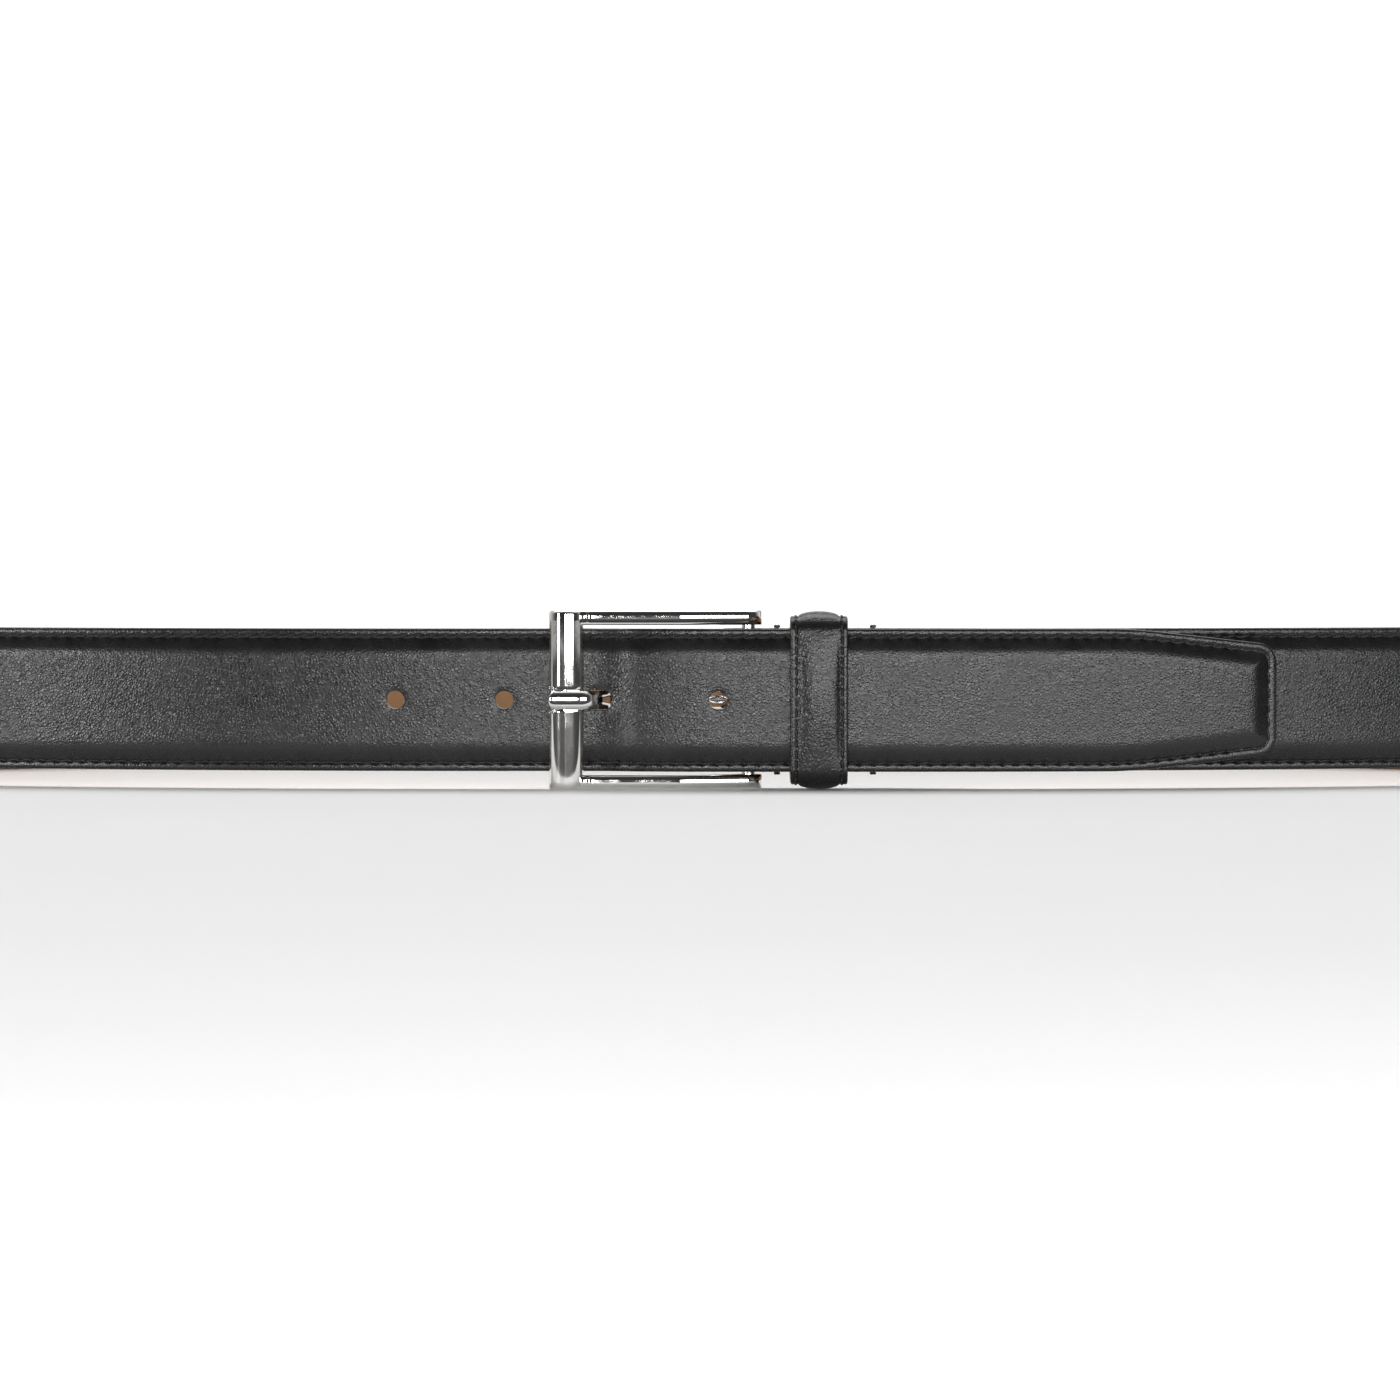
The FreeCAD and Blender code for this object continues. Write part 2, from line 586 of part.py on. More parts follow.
def make_prong():
    """The bent prong: flat tip on the bar, a dive through the hole and a curl round the hinge bar."""
    half = D["prong_thick"] / 2
    side = feature("prong_side", band_face(*prong_path(), -half, half))
    strip = prism("prong_strip", side, Vector(0, 0, 1), "prong_wide")

    def tip_corner(edge):
        at_tip = abs(edge.CenterOfMass.x - D["prong_tip"]) < 0.01
        return 1.1 if at_tip and runs_along(edge, Vector(0, 1, 0)) else None

    strip = round_edges("prong_rounded", strip, tip_corner)
    centre = Vector(D["hinge_x"], D["hinge_y"], -D["barrel_wide"] / 2)
    curl = cylinder("prong_curl", "dims.barrel_radius", "dims.barrel_wide", centre)
    bore = cylinder("prong_bore", "dims.pin_radius + dims.run_clearance", "dims.frame_height",
                    centre - Vector(0, 0, 10))
    finished(cut("prong_bored", fuse("prong_solid", strip, curl), bore), "prong", Vector(0, 0, MID_Z))


def make_hinge_bar():
    made = cylinder("hinge_pin", "dims.pin_radius", "dims.frame_height", Vector(0, 0, 0))
    finished(made, "hinge_bar", Vector(D["hinge_x"], D["hinge_y"], 0))


# ---------------------------------------------------------------- keeper

def keeper_block(name, reach, back_reach, left, wide):
    """The keeper's opening as a rounded block, grown by `reach`, and by `back_reach` at its back."""
    half = D["keeper_height"] / 2 + reach
    front, back = D["keeper_front"] - reach, D["keeper_back"] + back_reach
    block = box(name + "_block", (left, front, MID_Z - half), (left + wide, back, MID_Z + half))

    def corner(edge):
        if not runs_along(edge, Vector(1, 0, 0)):
            return None
        return D["keeper_corner"] + (reach if edge.CenterOfMass.y < 0 else back_reach)

    return round_edges(name, block, corner)


def make_keeper():
    """The keeper: lining ring, raised padding under the outer leather, two seams and a staple."""
    left, wide = D["keeper_left"], D["keeper_wide"]
    middle = left + wide / 2
    lining_reach, flange = D["keeper_lining"], D["keeper_flange"]
    opening = keeper_block("keeper_opening", 0, 0, left - 1, wide + 2)
    inside = keeper_block("keeper_inside", lining_reach, lining_reach, left, wide)
    flanges = keeper_block("keeper_flanges", flange, 1.9, left, wide)
    crown = keeper_block("keeper_raised", D["keeper_crown"], 1.9, middle - D["crown_wide"] / 2,
                         D["crown_wide"])
    padded = keeper_block("keeper_padded", 2.1, lining_reach, middle - D["padding_wide"] / 2,
                          D["padding_wide"])
    padding = cut("keeper_pocket", padded, inside)
    back = D["keeper_back"] + 1.9
    staple = fuse("staple_wire",
                  box("staple_back", (middle - 0.4, back - 0.35, MID_Z - 4),
                      (middle + 0.4, back + 0.1, MID_Z + 4)),
                  box("staple_low", (middle - 0.4, back - 1.5, MID_Z - 4),
                      (middle + 0.4, back, MID_Z - 3.4)),
                  box("staple_high", (middle - 0.4, back - 1.5, MID_Z + 3.4),
                      (middle + 0.4, back, MID_Z + 4)))
    outer = cut("keeper_outer", fuse("keeper_outside", flanges, crown), inside, padding, staple)
    finished(outer, "keeper_outer_leather")
    finished(cut("keeper_padding_ring", padded, inside), "keeper_padding")
    finished(cut("keeper_lining_ring", inside, opening, staple), "keeper_lining")
    for label, x in (("keeper_left_stitching", left + 1.15),
                     ("keeper_right_stitching", left + wide - 1.15)):
        row = keeper_block(label + "_row", flange + 0.3, 0, x - 0.25, 0.5)
        core = keeper_block(label + "_core", flange, 1.9, x - 1, 2)
        finished(cut(label + "_thread", row, core), label)
    finished(cut("staple_shape", staple, opening), "keeper_staple")


# ---------------------------------------------------------------- build, check and write out

def check_document():
    """Stops with the names of any objects that failed or hold no valid shape."""
    failed = []
    for made in doc.Objects:
        if "Invalid" in made.State or "Error" in made.State:
            failed.append(f"{made.Name} {made.State}")
    for made in SUB_PARTS:
        if made.Shape.isNull() or not made.Shape.isValid() or len(made.Shape.Solids) == 0:
            failed.append(f"{made.Label} has no valid shape")
    if failed:
        raise RuntimeError("; ".join(failed))


def main():
    make_strap()
    make_cross_stitch("buckle_side_turnback_stitching", D["seam_near"])
    make_cross_stitch("far_side_turnback_stitching", D["seam_far"])
    make_tip()
    make_frame()
    make_hinge_bar()
    make_prong()
    make_keeper()
    doc.recompute()
    check_document()
    os.makedirs(OUT_FOLDER, exist_ok=True)
    for made in SUB_PARTS:
        made.Shape.exportStep(f"{OUT_FOLDER}/{made.Label}.step")


main()
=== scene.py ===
"""Looks for the leather belt: padded black strap, tan lining, stitching, keeper, polished buckle.

Lengths in the belt's own frame are millimetres, with the outer face of the front strap on y = 0 and
the lower edge of the strap at height 0. `place` turns them into metres in the row's frame.
"""
import math
import bmesh
import bpy
import numpy as np
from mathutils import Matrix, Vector


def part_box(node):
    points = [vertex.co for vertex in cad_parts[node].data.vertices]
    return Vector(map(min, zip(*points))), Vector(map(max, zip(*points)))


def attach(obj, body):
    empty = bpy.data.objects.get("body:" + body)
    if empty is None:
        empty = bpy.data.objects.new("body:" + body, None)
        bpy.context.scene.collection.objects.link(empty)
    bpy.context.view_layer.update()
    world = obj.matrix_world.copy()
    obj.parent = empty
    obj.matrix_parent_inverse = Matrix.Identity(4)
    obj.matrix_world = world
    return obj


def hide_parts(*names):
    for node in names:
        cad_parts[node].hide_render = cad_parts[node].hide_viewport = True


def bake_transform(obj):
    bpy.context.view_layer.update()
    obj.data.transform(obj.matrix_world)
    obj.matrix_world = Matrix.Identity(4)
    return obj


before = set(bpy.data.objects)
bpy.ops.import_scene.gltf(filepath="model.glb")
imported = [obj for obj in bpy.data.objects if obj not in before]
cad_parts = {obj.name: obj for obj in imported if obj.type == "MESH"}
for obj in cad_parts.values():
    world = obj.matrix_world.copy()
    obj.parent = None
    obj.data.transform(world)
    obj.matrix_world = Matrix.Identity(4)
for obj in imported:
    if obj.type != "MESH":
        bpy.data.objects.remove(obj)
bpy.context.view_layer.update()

MM = 0.001
PIN_LOW, PIN_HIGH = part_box("hinge_bar")
HINGE = (11.2, 4.2)
SHIFT_Y = (PIN_LOW.y + PIN_HIGH.y) / 2 / MM - HINGE[1]
MID_Z = (PIN_LOW.z + PIN_HIGH.z) / 2 / MM

WIDTH = 33.0
HALF = WIDTH / 2
FRONT_LIFT = MID_Z - HALF
LINING_AT = 2.5
THICK = 3.6
TIP_Y = -3.9
FOLD_THICK = 2.3
SKIVE_X = 16.5
TIP_X = 134.5
SEAM_X = 26.7
SPLIT_X = 46.0
PITCH = 3.3
STITCH_INSET = 2.0
HOLES_X = (-70.4, -45.2, 4.2, 29.2)
HOLE_RADIUS = 2.1
USED_HOLE_X = -23.1
# Right ends of the hole in use: far enough for the prong when buckle and prong are both swung out.
USED_HOLE_RIGHT = -20.2
LINING_HOLE_RIGHT = -13.5
TAPER = math.radians(6.3)
TAPER_RUN, TAPER_RADIUS, TIP_CORNER = 24, 120, 4.6
FRONT_HALF, FRONT_RADIUS, FRONT_TURN = 50, 440, 15
END_RADIUS, BACK_TURN = 50, 25
LUG_RADIUS, PRONG_HALF = 3.1, 2.15


def place(points):
    """Belt frame millimetres to row frame metres, for an (n, 3) array."""
    moved = np.asarray(points, float).copy()
    moved[:, 1] += SHIFT_Y
    return moved * MM


# ---------------------------------------------------------------- paths

class Path:
    """A plan path of tangent straights and bends, traced by its length in mm."""

    def __init__(self, start, heading, runs):
        self.parts = []
        x, y, angle, along = start[0], start[1], math.radians(heading), 0.0
        for run in runs:
            if run[0] == "straight":
                self.parts.append((along, along + run[1], x, y, angle, 0.0))
                x, y = x + run[1] * math.cos(angle), y + run[1] * math.sin(angle)
                along += run[1]
                continue
            radius, turn = run[1], math.radians(run[2])
            bend = math.copysign(1 / radius, turn)
            length = abs(radius * turn)
            self.parts.append((along, along + length, x, y, angle, bend))
            x += (math.sin(angle + turn) - math.sin(angle)) / bend
            y -= (math.cos(angle + turn) - math.cos(angle)) / bend
            angle, along = angle + turn, along + length
        self.length = along

    def at(self, along):
        """x, y and heading at a length, or at an array of lengths."""
        along = np.atleast_1d(np.asarray(along, float))
        x, y, angle = np.zeros_like(along), np.zeros_like(along), np.zeros_like(along)
        for number, (low, _, x0, y0, a0, bend) in enumerate(self.parts):
            inside = (along >= low - 1e-9) if number else np.ones_like(along, bool)
            step = along[inside] - low
            if bend:
                now = a0 + step * bend
                x[inside] = x0 + (np.sin(now) - math.sin(a0)) / bend
                y[inside] = y0 - (np.cos(now) - math.cos(a0)) / bend
                angle[inside] = now
            else:
                x[inside] = x0 + step * math.cos(a0)
                y[inside] = y0 + step * math.sin(a0)
                angle[inside] = a0
        return x, y, angle


def s_bend(rise, run):
    """Two equal and opposite bends that move a path `rise` to its right over `run`."""
    turn = 2 * math.degrees(math.atan(rise / run))
    radius = run / (2 * math.sin(math.radians(turn)))
    return [("bend", radius, -turn), ("bend", radius, turn)]


def strap_path():
    """Once round the waist, from the skived start on the front to the seam under the keeper."""
    sin_front, sin_back = math.sin(math.radians(FRONT_TURN)), math.sin(math.radians(BACK_TURN))
    back_radius = (FRONT_HALF + FRONT_RADIUS * sin_front + END_RADIUS * (sin_back - sin_front)) / sin_back
    round_end = [("bend", END_RADIUS, 180 - FRONT_TURN - BACK_TURN)]
    runs = [("straight", FRONT_HALF - SKIVE_X), ("bend", FRONT_RADIUS, FRONT_TURN), *round_end,
            ("bend", back_radius, 2 * BACK_TURN), *round_end,
            ("bend", FRONT_RADIUS, FRONT_TURN), ("straight", 24),
            ("bend", 27, -20), ("bend", 22, 12), ("bend", 119.1, 8)]
    rising = Path((SKIVE_X, 0.0), 0.0, runs)
    reached, _, _ = rising.at(rising.length)
    return Path((SKIVE_X, 0.0), 0.0, [*runs, ("straight", SEAM_X - reached[0])])


def fold_path():
    """The tab behind the strap and the turn round the hinge bar."""
    resting = THICK + FOLD_THICK + 0.5
    runs = [("straight", 8), *s_bend(8.4 - resting, 12), ("straight", 35), ("bend", 4.2, 180),
            ("straight", SKIVE_X + 1.5 - 9)]
    return Path((64.0, resting), 180.0, runs)


def lift(y):
    """Height of the strap's lower edge above the ground at a depth y."""
    near, far = 20.0, 105.0
    radius = ((far - near) ** 2 + FRONT_LIFT ** 2) / (4 * FRONT_LIFT)
    middle = (near + far) / 2
    dropped = np.clip(y, near, middle) - near
    first = FRONT_LIFT - (radius - np.sqrt(np.maximum(radius ** 2 - dropped ** 2, 0)))
    second = radius - np.sqrt(np.maximum(radius ** 2 - (far - np.clip(y, middle, far)) ** 2, 0))
    return np.where(y < middle, first, second)


# ---------------------------------------------------------------- meshes

def new_object(name, verts, faces, material, smooth_deg=38.0, attributes=None):
    """A mesh object in the row frame from belt frame vertices, smooth but for its sharp edges."""
    mesh = bpy.data.meshes.new(name)
    mesh.from_pydata(place(verts).tolist(), [], [list(map(int, face)) for face in faces])
    for key, values in (attributes or {}).items():
        layer = mesh.attributes.new(key, "FLOAT", "POINT")
        layer.data.foreach_set("value", np.asarray(values, np.float32))
    mesh.validate()
    made = bpy.data.objects.new(name, mesh)
    bpy.context.scene.collection.objects.link(made)
    for item in material if isinstance(material, (list, tuple)) else [material]:
        mesh.materials.append(item)
    clean(made, smooth_deg)
    return made


def clean(made, smooth_deg=38.0):
    """Outward normals, and smooth shading broken at edges sharper than an angle."""
    work = bmesh.new()
    work.from_mesh(made.data)
    bmesh.ops.remove_doubles(work, verts=work.verts, dist=2e-6)
    bmesh.ops.recalc_face_normals(work, faces=work.faces)
    for face in work.faces:
        face.smooth = True
    limit = math.radians(smooth_deg)
    for edge in work.edges:
        edge.smooth = len(edge.link_faces) == 2 and edge.calc_face_angle(0.0) < limit
    work.to_mesh(made.data)
    work.free()


def loft(rings, closed_ring=True, closed_path=False, caps=True):
    """Vertices and faces of a lofted solid from an array (stations, points, 3)."""
    count, points = rings.shape[:2]
    verts = rings.reshape(-1, 3)
    faces = []
    last_station = count if closed_path else count - 1
    last_point = points if closed_ring else points - 1
    for i in range(last_station):
        here, there = i * points, ((i + 1) % count) * points
        for j in range(last_point):
            k = (j + 1) % points
            faces.append((here + j, here + k, there + k, there + j))
    if caps and not closed_path:
        faces.append(tuple(range(points))[::-1])
        faces.append(tuple((count - 1) * points + j for j in range(points)))
    return verts, faces


def tube(centres, radii, sides=7):
    """Vertices and faces of a round tube along points, with closed ends."""
    centres = np.asarray(centres, float)
    ahead = np.gradient(centres, axis=0)
    ahead /= np.linalg.norm(ahead, axis=1, keepdims=True)
    helper = np.array([0.0, 0.0, 1.0]) if abs(ahead[0, 2]) < 0.8 else np.array([0.0, 1.0, 0.0])
    side = np.cross(ahead, helper)
    side /= np.linalg.norm(side, axis=1, keepdims=True)
    up = np.cross(side, ahead)
    turns = np.linspace(0, 2 * math.pi, sides, endpoint=False)
    radii = np.broadcast_to(np.asarray(radii, float), (len(centres),))
    rings = (centres[:, None] + radii[:, None, None] * (np.cos(turns)[None, :, None] * side[:, None]
                                                        + np.sin(turns)[None, :, None] * up[:, None]))
    return loft(rings)


class Bag:
    """Collects many small meshes into one."""

    def __init__(self):
        self.verts, self.faces, self.count = [], [], 0

    def add(self, verts, faces):
        self.verts.append(np.asarray(verts, float))
        self.faces += [tuple(index + self.count for index in face) for face in faces]
        self.count += len(verts)

    def make(self, name, material, smooth_deg=60.0):
        return new_object(name, np.vstack(self.verts), self.faces, material, smooth_deg)


def boolean(made, cutter, operation="DIFFERENCE", smooth_deg=38.0):
    """Applies a boolean and removes the cutter."""
    modifier = made.modifiers.new("cut", "BOOLEAN")
    modifier.operation, modifier.object, modifier.solver = operation, cutter, "EXACT"
    modifier.material_mode = "TRANSFER"
    depsgraph = bpy.context.evaluated_depsgraph_get()
    mesh = bpy.data.meshes.new_from_object(made.evaluated_get(depsgraph), preserve_all_data_layers=True,
                                           depsgraph=depsgraph)
    made.modifiers.clear()
    old, made.data = made.data, mesh
    mesh.name = made.name
    bpy.data.meshes.remove(old)
    bpy.data.objects.remove(cutter)
    clean(made, smooth_deg)


def bevel(made, width, segments=3, angle=30.0, smooth_deg=38.0):
    """Applies a bevel to the sharp edges."""
    modifier = made.modifiers.new("bevel", "BEVEL")
    modifier.width, modifier.segments = width * MM, segments
    modifier.limit_method, modifier.angle_limit = "ANGLE", math.radians(angle)
    modifier.use_clamp_overlap = True
    depsgraph = bpy.context.evaluated_depsgraph_get()
    mesh = bpy.data.meshes.new_from_object(made.evaluated_get(depsgraph), preserve_all_data_layers=True,
                                           depsgraph=depsgraph)
    made.modifiers.clear()
    old, made.data = made.data, mesh
    bpy.data.meshes.remove(old)
    clean(made, smooth_deg)


def prism_y(name, outline, low, high, material):
    """A solid with an outline in x and z, between two depths y."""
    rings = np.array([[(x, y, z) for x, z in outline] for y in (low, high)])
    return new_object(name, *loft(rings), material)


def prism_z(name, outline, low, high, material):
    """A solid with an outline in x and y, between two heights z."""
    rings = np.array([[(x, y, z) for x, y in outline] for z in (low, high)])
    return new_object(name, *loft(rings), material)


def circle(x, y, radius, count=48, start=0.0, turn=360.0):
    """Points of a circle or an arc."""
    whole = abs(turn) >= 360
    angles = np.radians(start + np.linspace(0, turn, count, endpoint=not whole))
    return [(x + radius * math.cos(a), y + radius * math.sin(a)) for a in angles]


# ---------------------------------------------------------------- leather section

# Depth below the crown's plane, by distance in from the strap's edge.
FACE_Q = [0, .05, .14, .3, .55, .85, 1.2, 1.5, 1.72, 1.86, 2.0, 2.14, 2.28, 2.5, 2.8, 3.2, 3.7, 4.2, 4.7,
          5.2, 5.8,
          6.5, 7.4]
FACE_D = [1.46, 1.26, 1.11, 1.0, .94, .91, .91, .94, 1.0, 1.05, 1.07, 1.04, .98, .91, .83, .71, .55,
          .41, .28, .18,
          .10, .05, .03]


def face_depth(q):
    """Depth of the grain side, q in from the edge: rounded edge, stitched margin, raised centre."""
    middle = 0.03 * np.clip((q - 7.4) / 9.1, 0, 1)
    return np.interp(q, FACE_Q, FACE_D) - middle


def section_heights(half):
    """Heights across the strap about its middle, dense at both edges, for a half width."""
    side = half - np.array(FACE_Q)
    inner = np.linspace(-side[-1], side[-1], 31)[1:-1]
    return np.concatenate([-side, inner, side[::-1]])


def pit(distance):
    """How far a needle hole pulls the leather down at a distance from it."""
    return 0.34 * np.exp(-(distance / 0.5) ** 2)


def rim(distance):
    """How far a punched hole's rim is pressed in."""
    return 0.14 * np.exp(-((distance - HOLE_RADIUS) / 0.7) ** 2)


def grain_of(q):
    """Strength of the leather's grain: full on the raised centre, weak on the shoulders."""
    return np.interp(q, [0, 0.4, 1.0, 2.0, 2.6, 4.0, 5.4, 6.6],
                     [0.15, 0.5, 0.7, 0.4, 0.12, 0.1, 0.55, 1.0])


def leather_solid(name, x, y, angle, half, face, grain, back, material):
    """A strap solid: `face` and `grain` are (stations, heights), `back` the depth of its back."""
    left = np.stack([-np.sin(angle), np.cos(angle)], 1)
    rings, grains = [], []
    for i in range(len(x)):
        heights = section_heights(half[i])
        bottom = np.array([heights[-1], 0.0, heights[0]])
        w = np.concatenate([heights, bottom])
        d = np.concatenate([face[i], [back] * 3])
        px, py = x[i] + left[i, 0] * d, y[i] + left[i, 1] * d
        rings.append(np.stack([px, py, lift(py) + HALF + w], 1))
        grains.append(np.concatenate([grain[i], [0.1] * 3]))
    verts, faces = loft(np.array(rings))
    return new_object(name, verts, faces, material, attributes={"grain": np.concatenate(grains)})


def lining_solid(name, x, y, angle, half, material):
    """The lining under a strap, with its edges inked."""
    inset = np.array([0.04, 0.04, 0.12, 0.35, 0.8, 2.0, 5.0, 9.0])
    depth = np.array([LINING_AT, 3.3, 3.5, 3.58, 3.6, 3.6, 3.6, 3.6])
    black = np.array([1.0, 1.0, 1.0, 0.3, 0.0, 0.0, 0.0, 0.0])
    left = np.stack([-np.sin(angle), np.cos(angle)], 1)
    rings = []
    for i in range(len(x)):
        side = np.maximum(half[i] - inset, 0.0)
        side = half[i] - inset if half[i] > 9.5 else half[i] * (1 - inset / 16.5)
        w = np.concatenate([-side, side[::-1]])
        d = np.concatenate([depth, depth[::-1]])
        px, py = x[i] + left[i, 0] * d, y[i] + left[i, 1] * d
        rings.append(np.stack([px, py, lift(py) + HALF + w], 1))
    ink = np.tile(np.concatenate([black, black[::-1]]), len(x))
    return new_object(name, *loft(np.array(rings)), material, attributes={"ink": ink})


def stitches(bag, centre, pitch_points, radius=0.29, rise=0.26, slant=0.2):
    """Adds one thread stitch between each neighbouring pair of needle holes.

    `centre(t)` gives the points, outward and sideways directions for an array of positions.
    """
    share = np.linspace(0, 1, 9)
    arch = np.sin(math.pi * share) ** 0.55
    for low, high in zip(pitch_points[:-1], pitch_points[1:]):
        along = low + (high - low) * (0.06 + 0.88 * share)
        point, out, side = centre(along)
        offset = -radius * 1.1 + (rise + radius * 0.55) * arch
        line = point + out * offset[:, None] + side * (slant * (share - 0.5) * 2)[:, None]
        bag.add(*tube(line, radius * (0.72 + 0.28 * arch), 7))


# ---------------------------------------------------------------- materials

class Nodes:
    """Short calls for building a material's node tree."""

    def __init__(self, name):
        self.material = bpy.data.materials.new(name)
        self.material.use_nodes = True
        self.tree = self.material.node_tree
        self.shader = self.tree.nodes["Principled BSDF"]

    def add(self, kind, **settings):
        made = self.tree.nodes.new(kind)
        for key, value in settings.items():
            if key.startswith("in_"):
                made.inputs[key[3:].replace("_", " ")].default_value = value
            else:
                setattr(made, key, value)
        return made

    def link(self, source, target):
        self.tree.links.new(source, target)

    def coords(self):
        return self.add("ShaderNodeTexCoord").outputs["Object"]

    def noise(self, scale, detail=3.0, rough=0.5, distortion=0.0):
        made = self.add("ShaderNodeTexNoise", in_Scale=scale, in_Detail=detail, in_Roughness=rough,
                        in_Distortion=distortion)
        self.link(self.where, made.inputs["Vector"])
        return made.outputs["Fac"]

    def cells(self, scale, feature="DISTANCE_TO_EDGE"):
        made = self.add("ShaderNodeTexVoronoi", feature=feature, in_Scale=scale)
        self.link(self.where, made.inputs["Vector"])
        return made.outputs["Distance"]

    def math(self, operation, first, second=None, clamp=False):
        made = self.add("ShaderNodeMath", operation=operation, use_clamp=clamp)
        for socket, value in zip(made.inputs, (first, second)):
            if value is None:
                continue
            if isinstance(value, (int, float)):
                socket.default_value = value
            else:
                self.link(value, socket)
        return made.outputs[0]

    def spread(self, value, low, high, to_low=0.0, to_high=1.0):
        made = self.add("ShaderNodeMapRange")
        for key, number in (("From Min", low), ("From Max", high),
                            ("To Min", to_low), ("To Max", to_high)):
            made.inputs[key].default_value = number
        self.link(value, made.inputs["Value"])
        return made.outputs["Result"]

    def mix(self, share, first, second):
        made = self.add("ShaderNodeMix", data_type="RGBA")
        self.link(share, made.inputs["Factor"])
        for socket, value in ((made.inputs[6], first), (made.inputs[7], second)):
            if isinstance(value, tuple):
                socket.default_value = (*value, 1.0)
            else:
                self.link(value, socket)
        return made.outputs[2]

    def attribute(self, name):
        return self.add("ShaderNodeAttribute", attribute_name=name).outputs["Fac"]

    def bump(self, height, distance, normal=None, strength=1.0):
        made = self.add("ShaderNodeBump", in_Strength=strength, in_Distance=distance)
        self.link(height, made.inputs["Height"])
        if normal is not None:
            self.link(normal, made.inputs["Normal"])
        return made.outputs["Normal"]

    def to(self, **sockets):
        for key, value in sockets.items():
            socket = self.shader.inputs[key.replace("_", " ")]
            if isinstance(value, (int, float)):
                socket.default_value = value
            elif isinstance(value, tuple):
                socket.default_value = (*value, 1.0)
            else:
                self.link(value, socket)
        return self.material


def black_leather(name, grain_by_attribute=True, wrinkles=0.0):
    """Finished calf leather: fine printed grain on the raised centre, smooth pressed shoulders."""
    n = Nodes(name)
    n.where = n.coords()
    pebble = n.spread(n.cells(1450.0), 0.0, 0.36)
    fine, blotch = n.noise(5200.0, 2.0), n.noise(950.0, 2.0, 0.6)
    broad = n.noise(120.0, 4.0, 0.6)
    height = n.math("ADD", n.math("MULTIPLY", pebble, 0.75), n.math("MULTIPLY", fine, 0.3))
    height = n.math("ADD", height, n.math("MULTIPLY", blotch, 1.6))
    if grain_by_attribute:
        height = n.math("MULTIPLY", height, n.attribute("grain"))
    if wrinkles:
        crease = n.spread(n.cells(430.0), 0.0, 0.12)
        height = n.math("ADD", height, n.math("MULTIPLY", crease, wrinkles))
    normal = n.bump(n.noise(260.0, 3.0), 0.00005, strength=0.4)
    normal = n.bump(height, 0.000045, normal, 1.0)
    tone = n.spread(broad, 0.3, 0.7)
    colour = n.mix(tone, (0.005, 0.0048, 0.0048), (0.0095, 0.0091, 0.009))
    rough = n.math("ADD", n.spread(broad, 0.3, 0.7, 0.27, 0.33), n.math("MULTIPLY", pebble, -0.06))
    return n.to(Base_Color=colour, Roughness=rough, Normal=normal, IOR=1.5, Specular_IOR_Level=0.55)


def tan_leather(name):
    """Smooth tan lining leather with a fine fibrous nap, inked black at its edges."""
    n = Nodes(name)
    n.where = n.coords()
    broad, fine = n.noise(90.0, 4.0, 0.6), n.noise(2600.0, 3.0)
    pores = n.spread(n.cells(1500.0), 0.0, 0.25)
    tan = n.mix(n.spread(broad, 0.3, 0.7), (0.43, 0.235, 0.105), (0.53, 0.305, 0.15))
    tan = n.mix(n.spread(fine, 0.35, 0.65, 0.0, 0.35), tan, (0.36, 0.19, 0.085))
    colour = n.mix(n.attribute("ink"), tan, (0.011, 0.0105, 0.0105))
    rough = n.spread(fine, 0.3, 0.7, 0.52, 0.66)
    height = n.math("ADD", n.math("MULTIPLY", pores, 0.6), n.math("MULTIPLY", fine, 0.6))
    return n.to(Base_Color=colour, Roughness=rough, Normal=n.bump(height, 0.00005, strength=0.7))


def thread_material(name):
    """Waxed black thread with its plies."""
    n = Nodes(name)
    n.where = n.coords()
    ply = n.add("ShaderNodeTexWave", in_Scale=900.0, in_Distortion=1.2, in_Detail=1.0)
    ply.bands_direction = "DIAGONAL"
    n.link(n.where, ply.inputs["Vector"])
    lint = n.noise(3800.0, 2.0)
    colour = n.mix(n.spread(lint, 0.3, 0.75), (0.007, 0.007, 0.0075), (0.02, 0.0195, 0.02))
    height = n.math("ADD", ply.outputs["Fac"], n.math("MULTIPLY", lint, 0.4))
    return n.to(Base_Color=colour, Roughness=n.spread(lint, 0.3, 0.7, 0.3, 0.45),
                Normal=n.bump(height, 0.00005, strength=0.6))


def metal(name, colour, rough_low, rough_high, waviness, hairlines=0.0):
    """Plated metal: wavy mirror polish with faint handling haze, or drawn with hairlines."""
    n = Nodes(name)
    n.where = n.coords()
    haze, wave = n.noise(300.0, 4.0, 0.65), n.noise(75.0, 2.0)
    normal = n.bump(wave, 0.0004, strength=waviness)
    if hairlines:
        stretched = n.add("ShaderNodeMapping")
        stretched.inputs["Scale"].default_value = (1.0, 1.0, 0.04)
        n.link(n.where, stretched.inputs["Vector"])
        n.where = stretched.outputs["Vector"]
        normal = n.bump(n.noise(9000.0, 2.0), 0.00001, normal, hairlines)
    tint = n.mix(n.spread(haze, 0.3, 0.7), colour, tuple(c * 0.93 for c in colour))
    return n.to(Base_Color=tint, Metallic=1.0,
                Roughness=n.spread(haze, 0.35, 0.75, rough_low, rough_high),
                Normal=normal)


LEATHER = black_leather("black_calf")
INK = black_leather("inked_cut_edge", False)
KEEPER_LEATHER = black_leather("black_calf_keeper", True, 0.55)
TAN = tan_leather("tan_lining")
THREAD = thread_material("waxed_thread")
CHROME = metal("polished_nickel", (0.86, 0.85, 0.83), 0.03, 0.09, 0.03)
STEEL = metal("drawn_steel", (0.62, 0.61, 0.6), 0.2, 0.32, 0.2, 0.5)

# ---------------------------------------------------------------- strap

STRAP = strap_path()
FRONT_FROM = STRAP.length - (SEAM_X + 110)


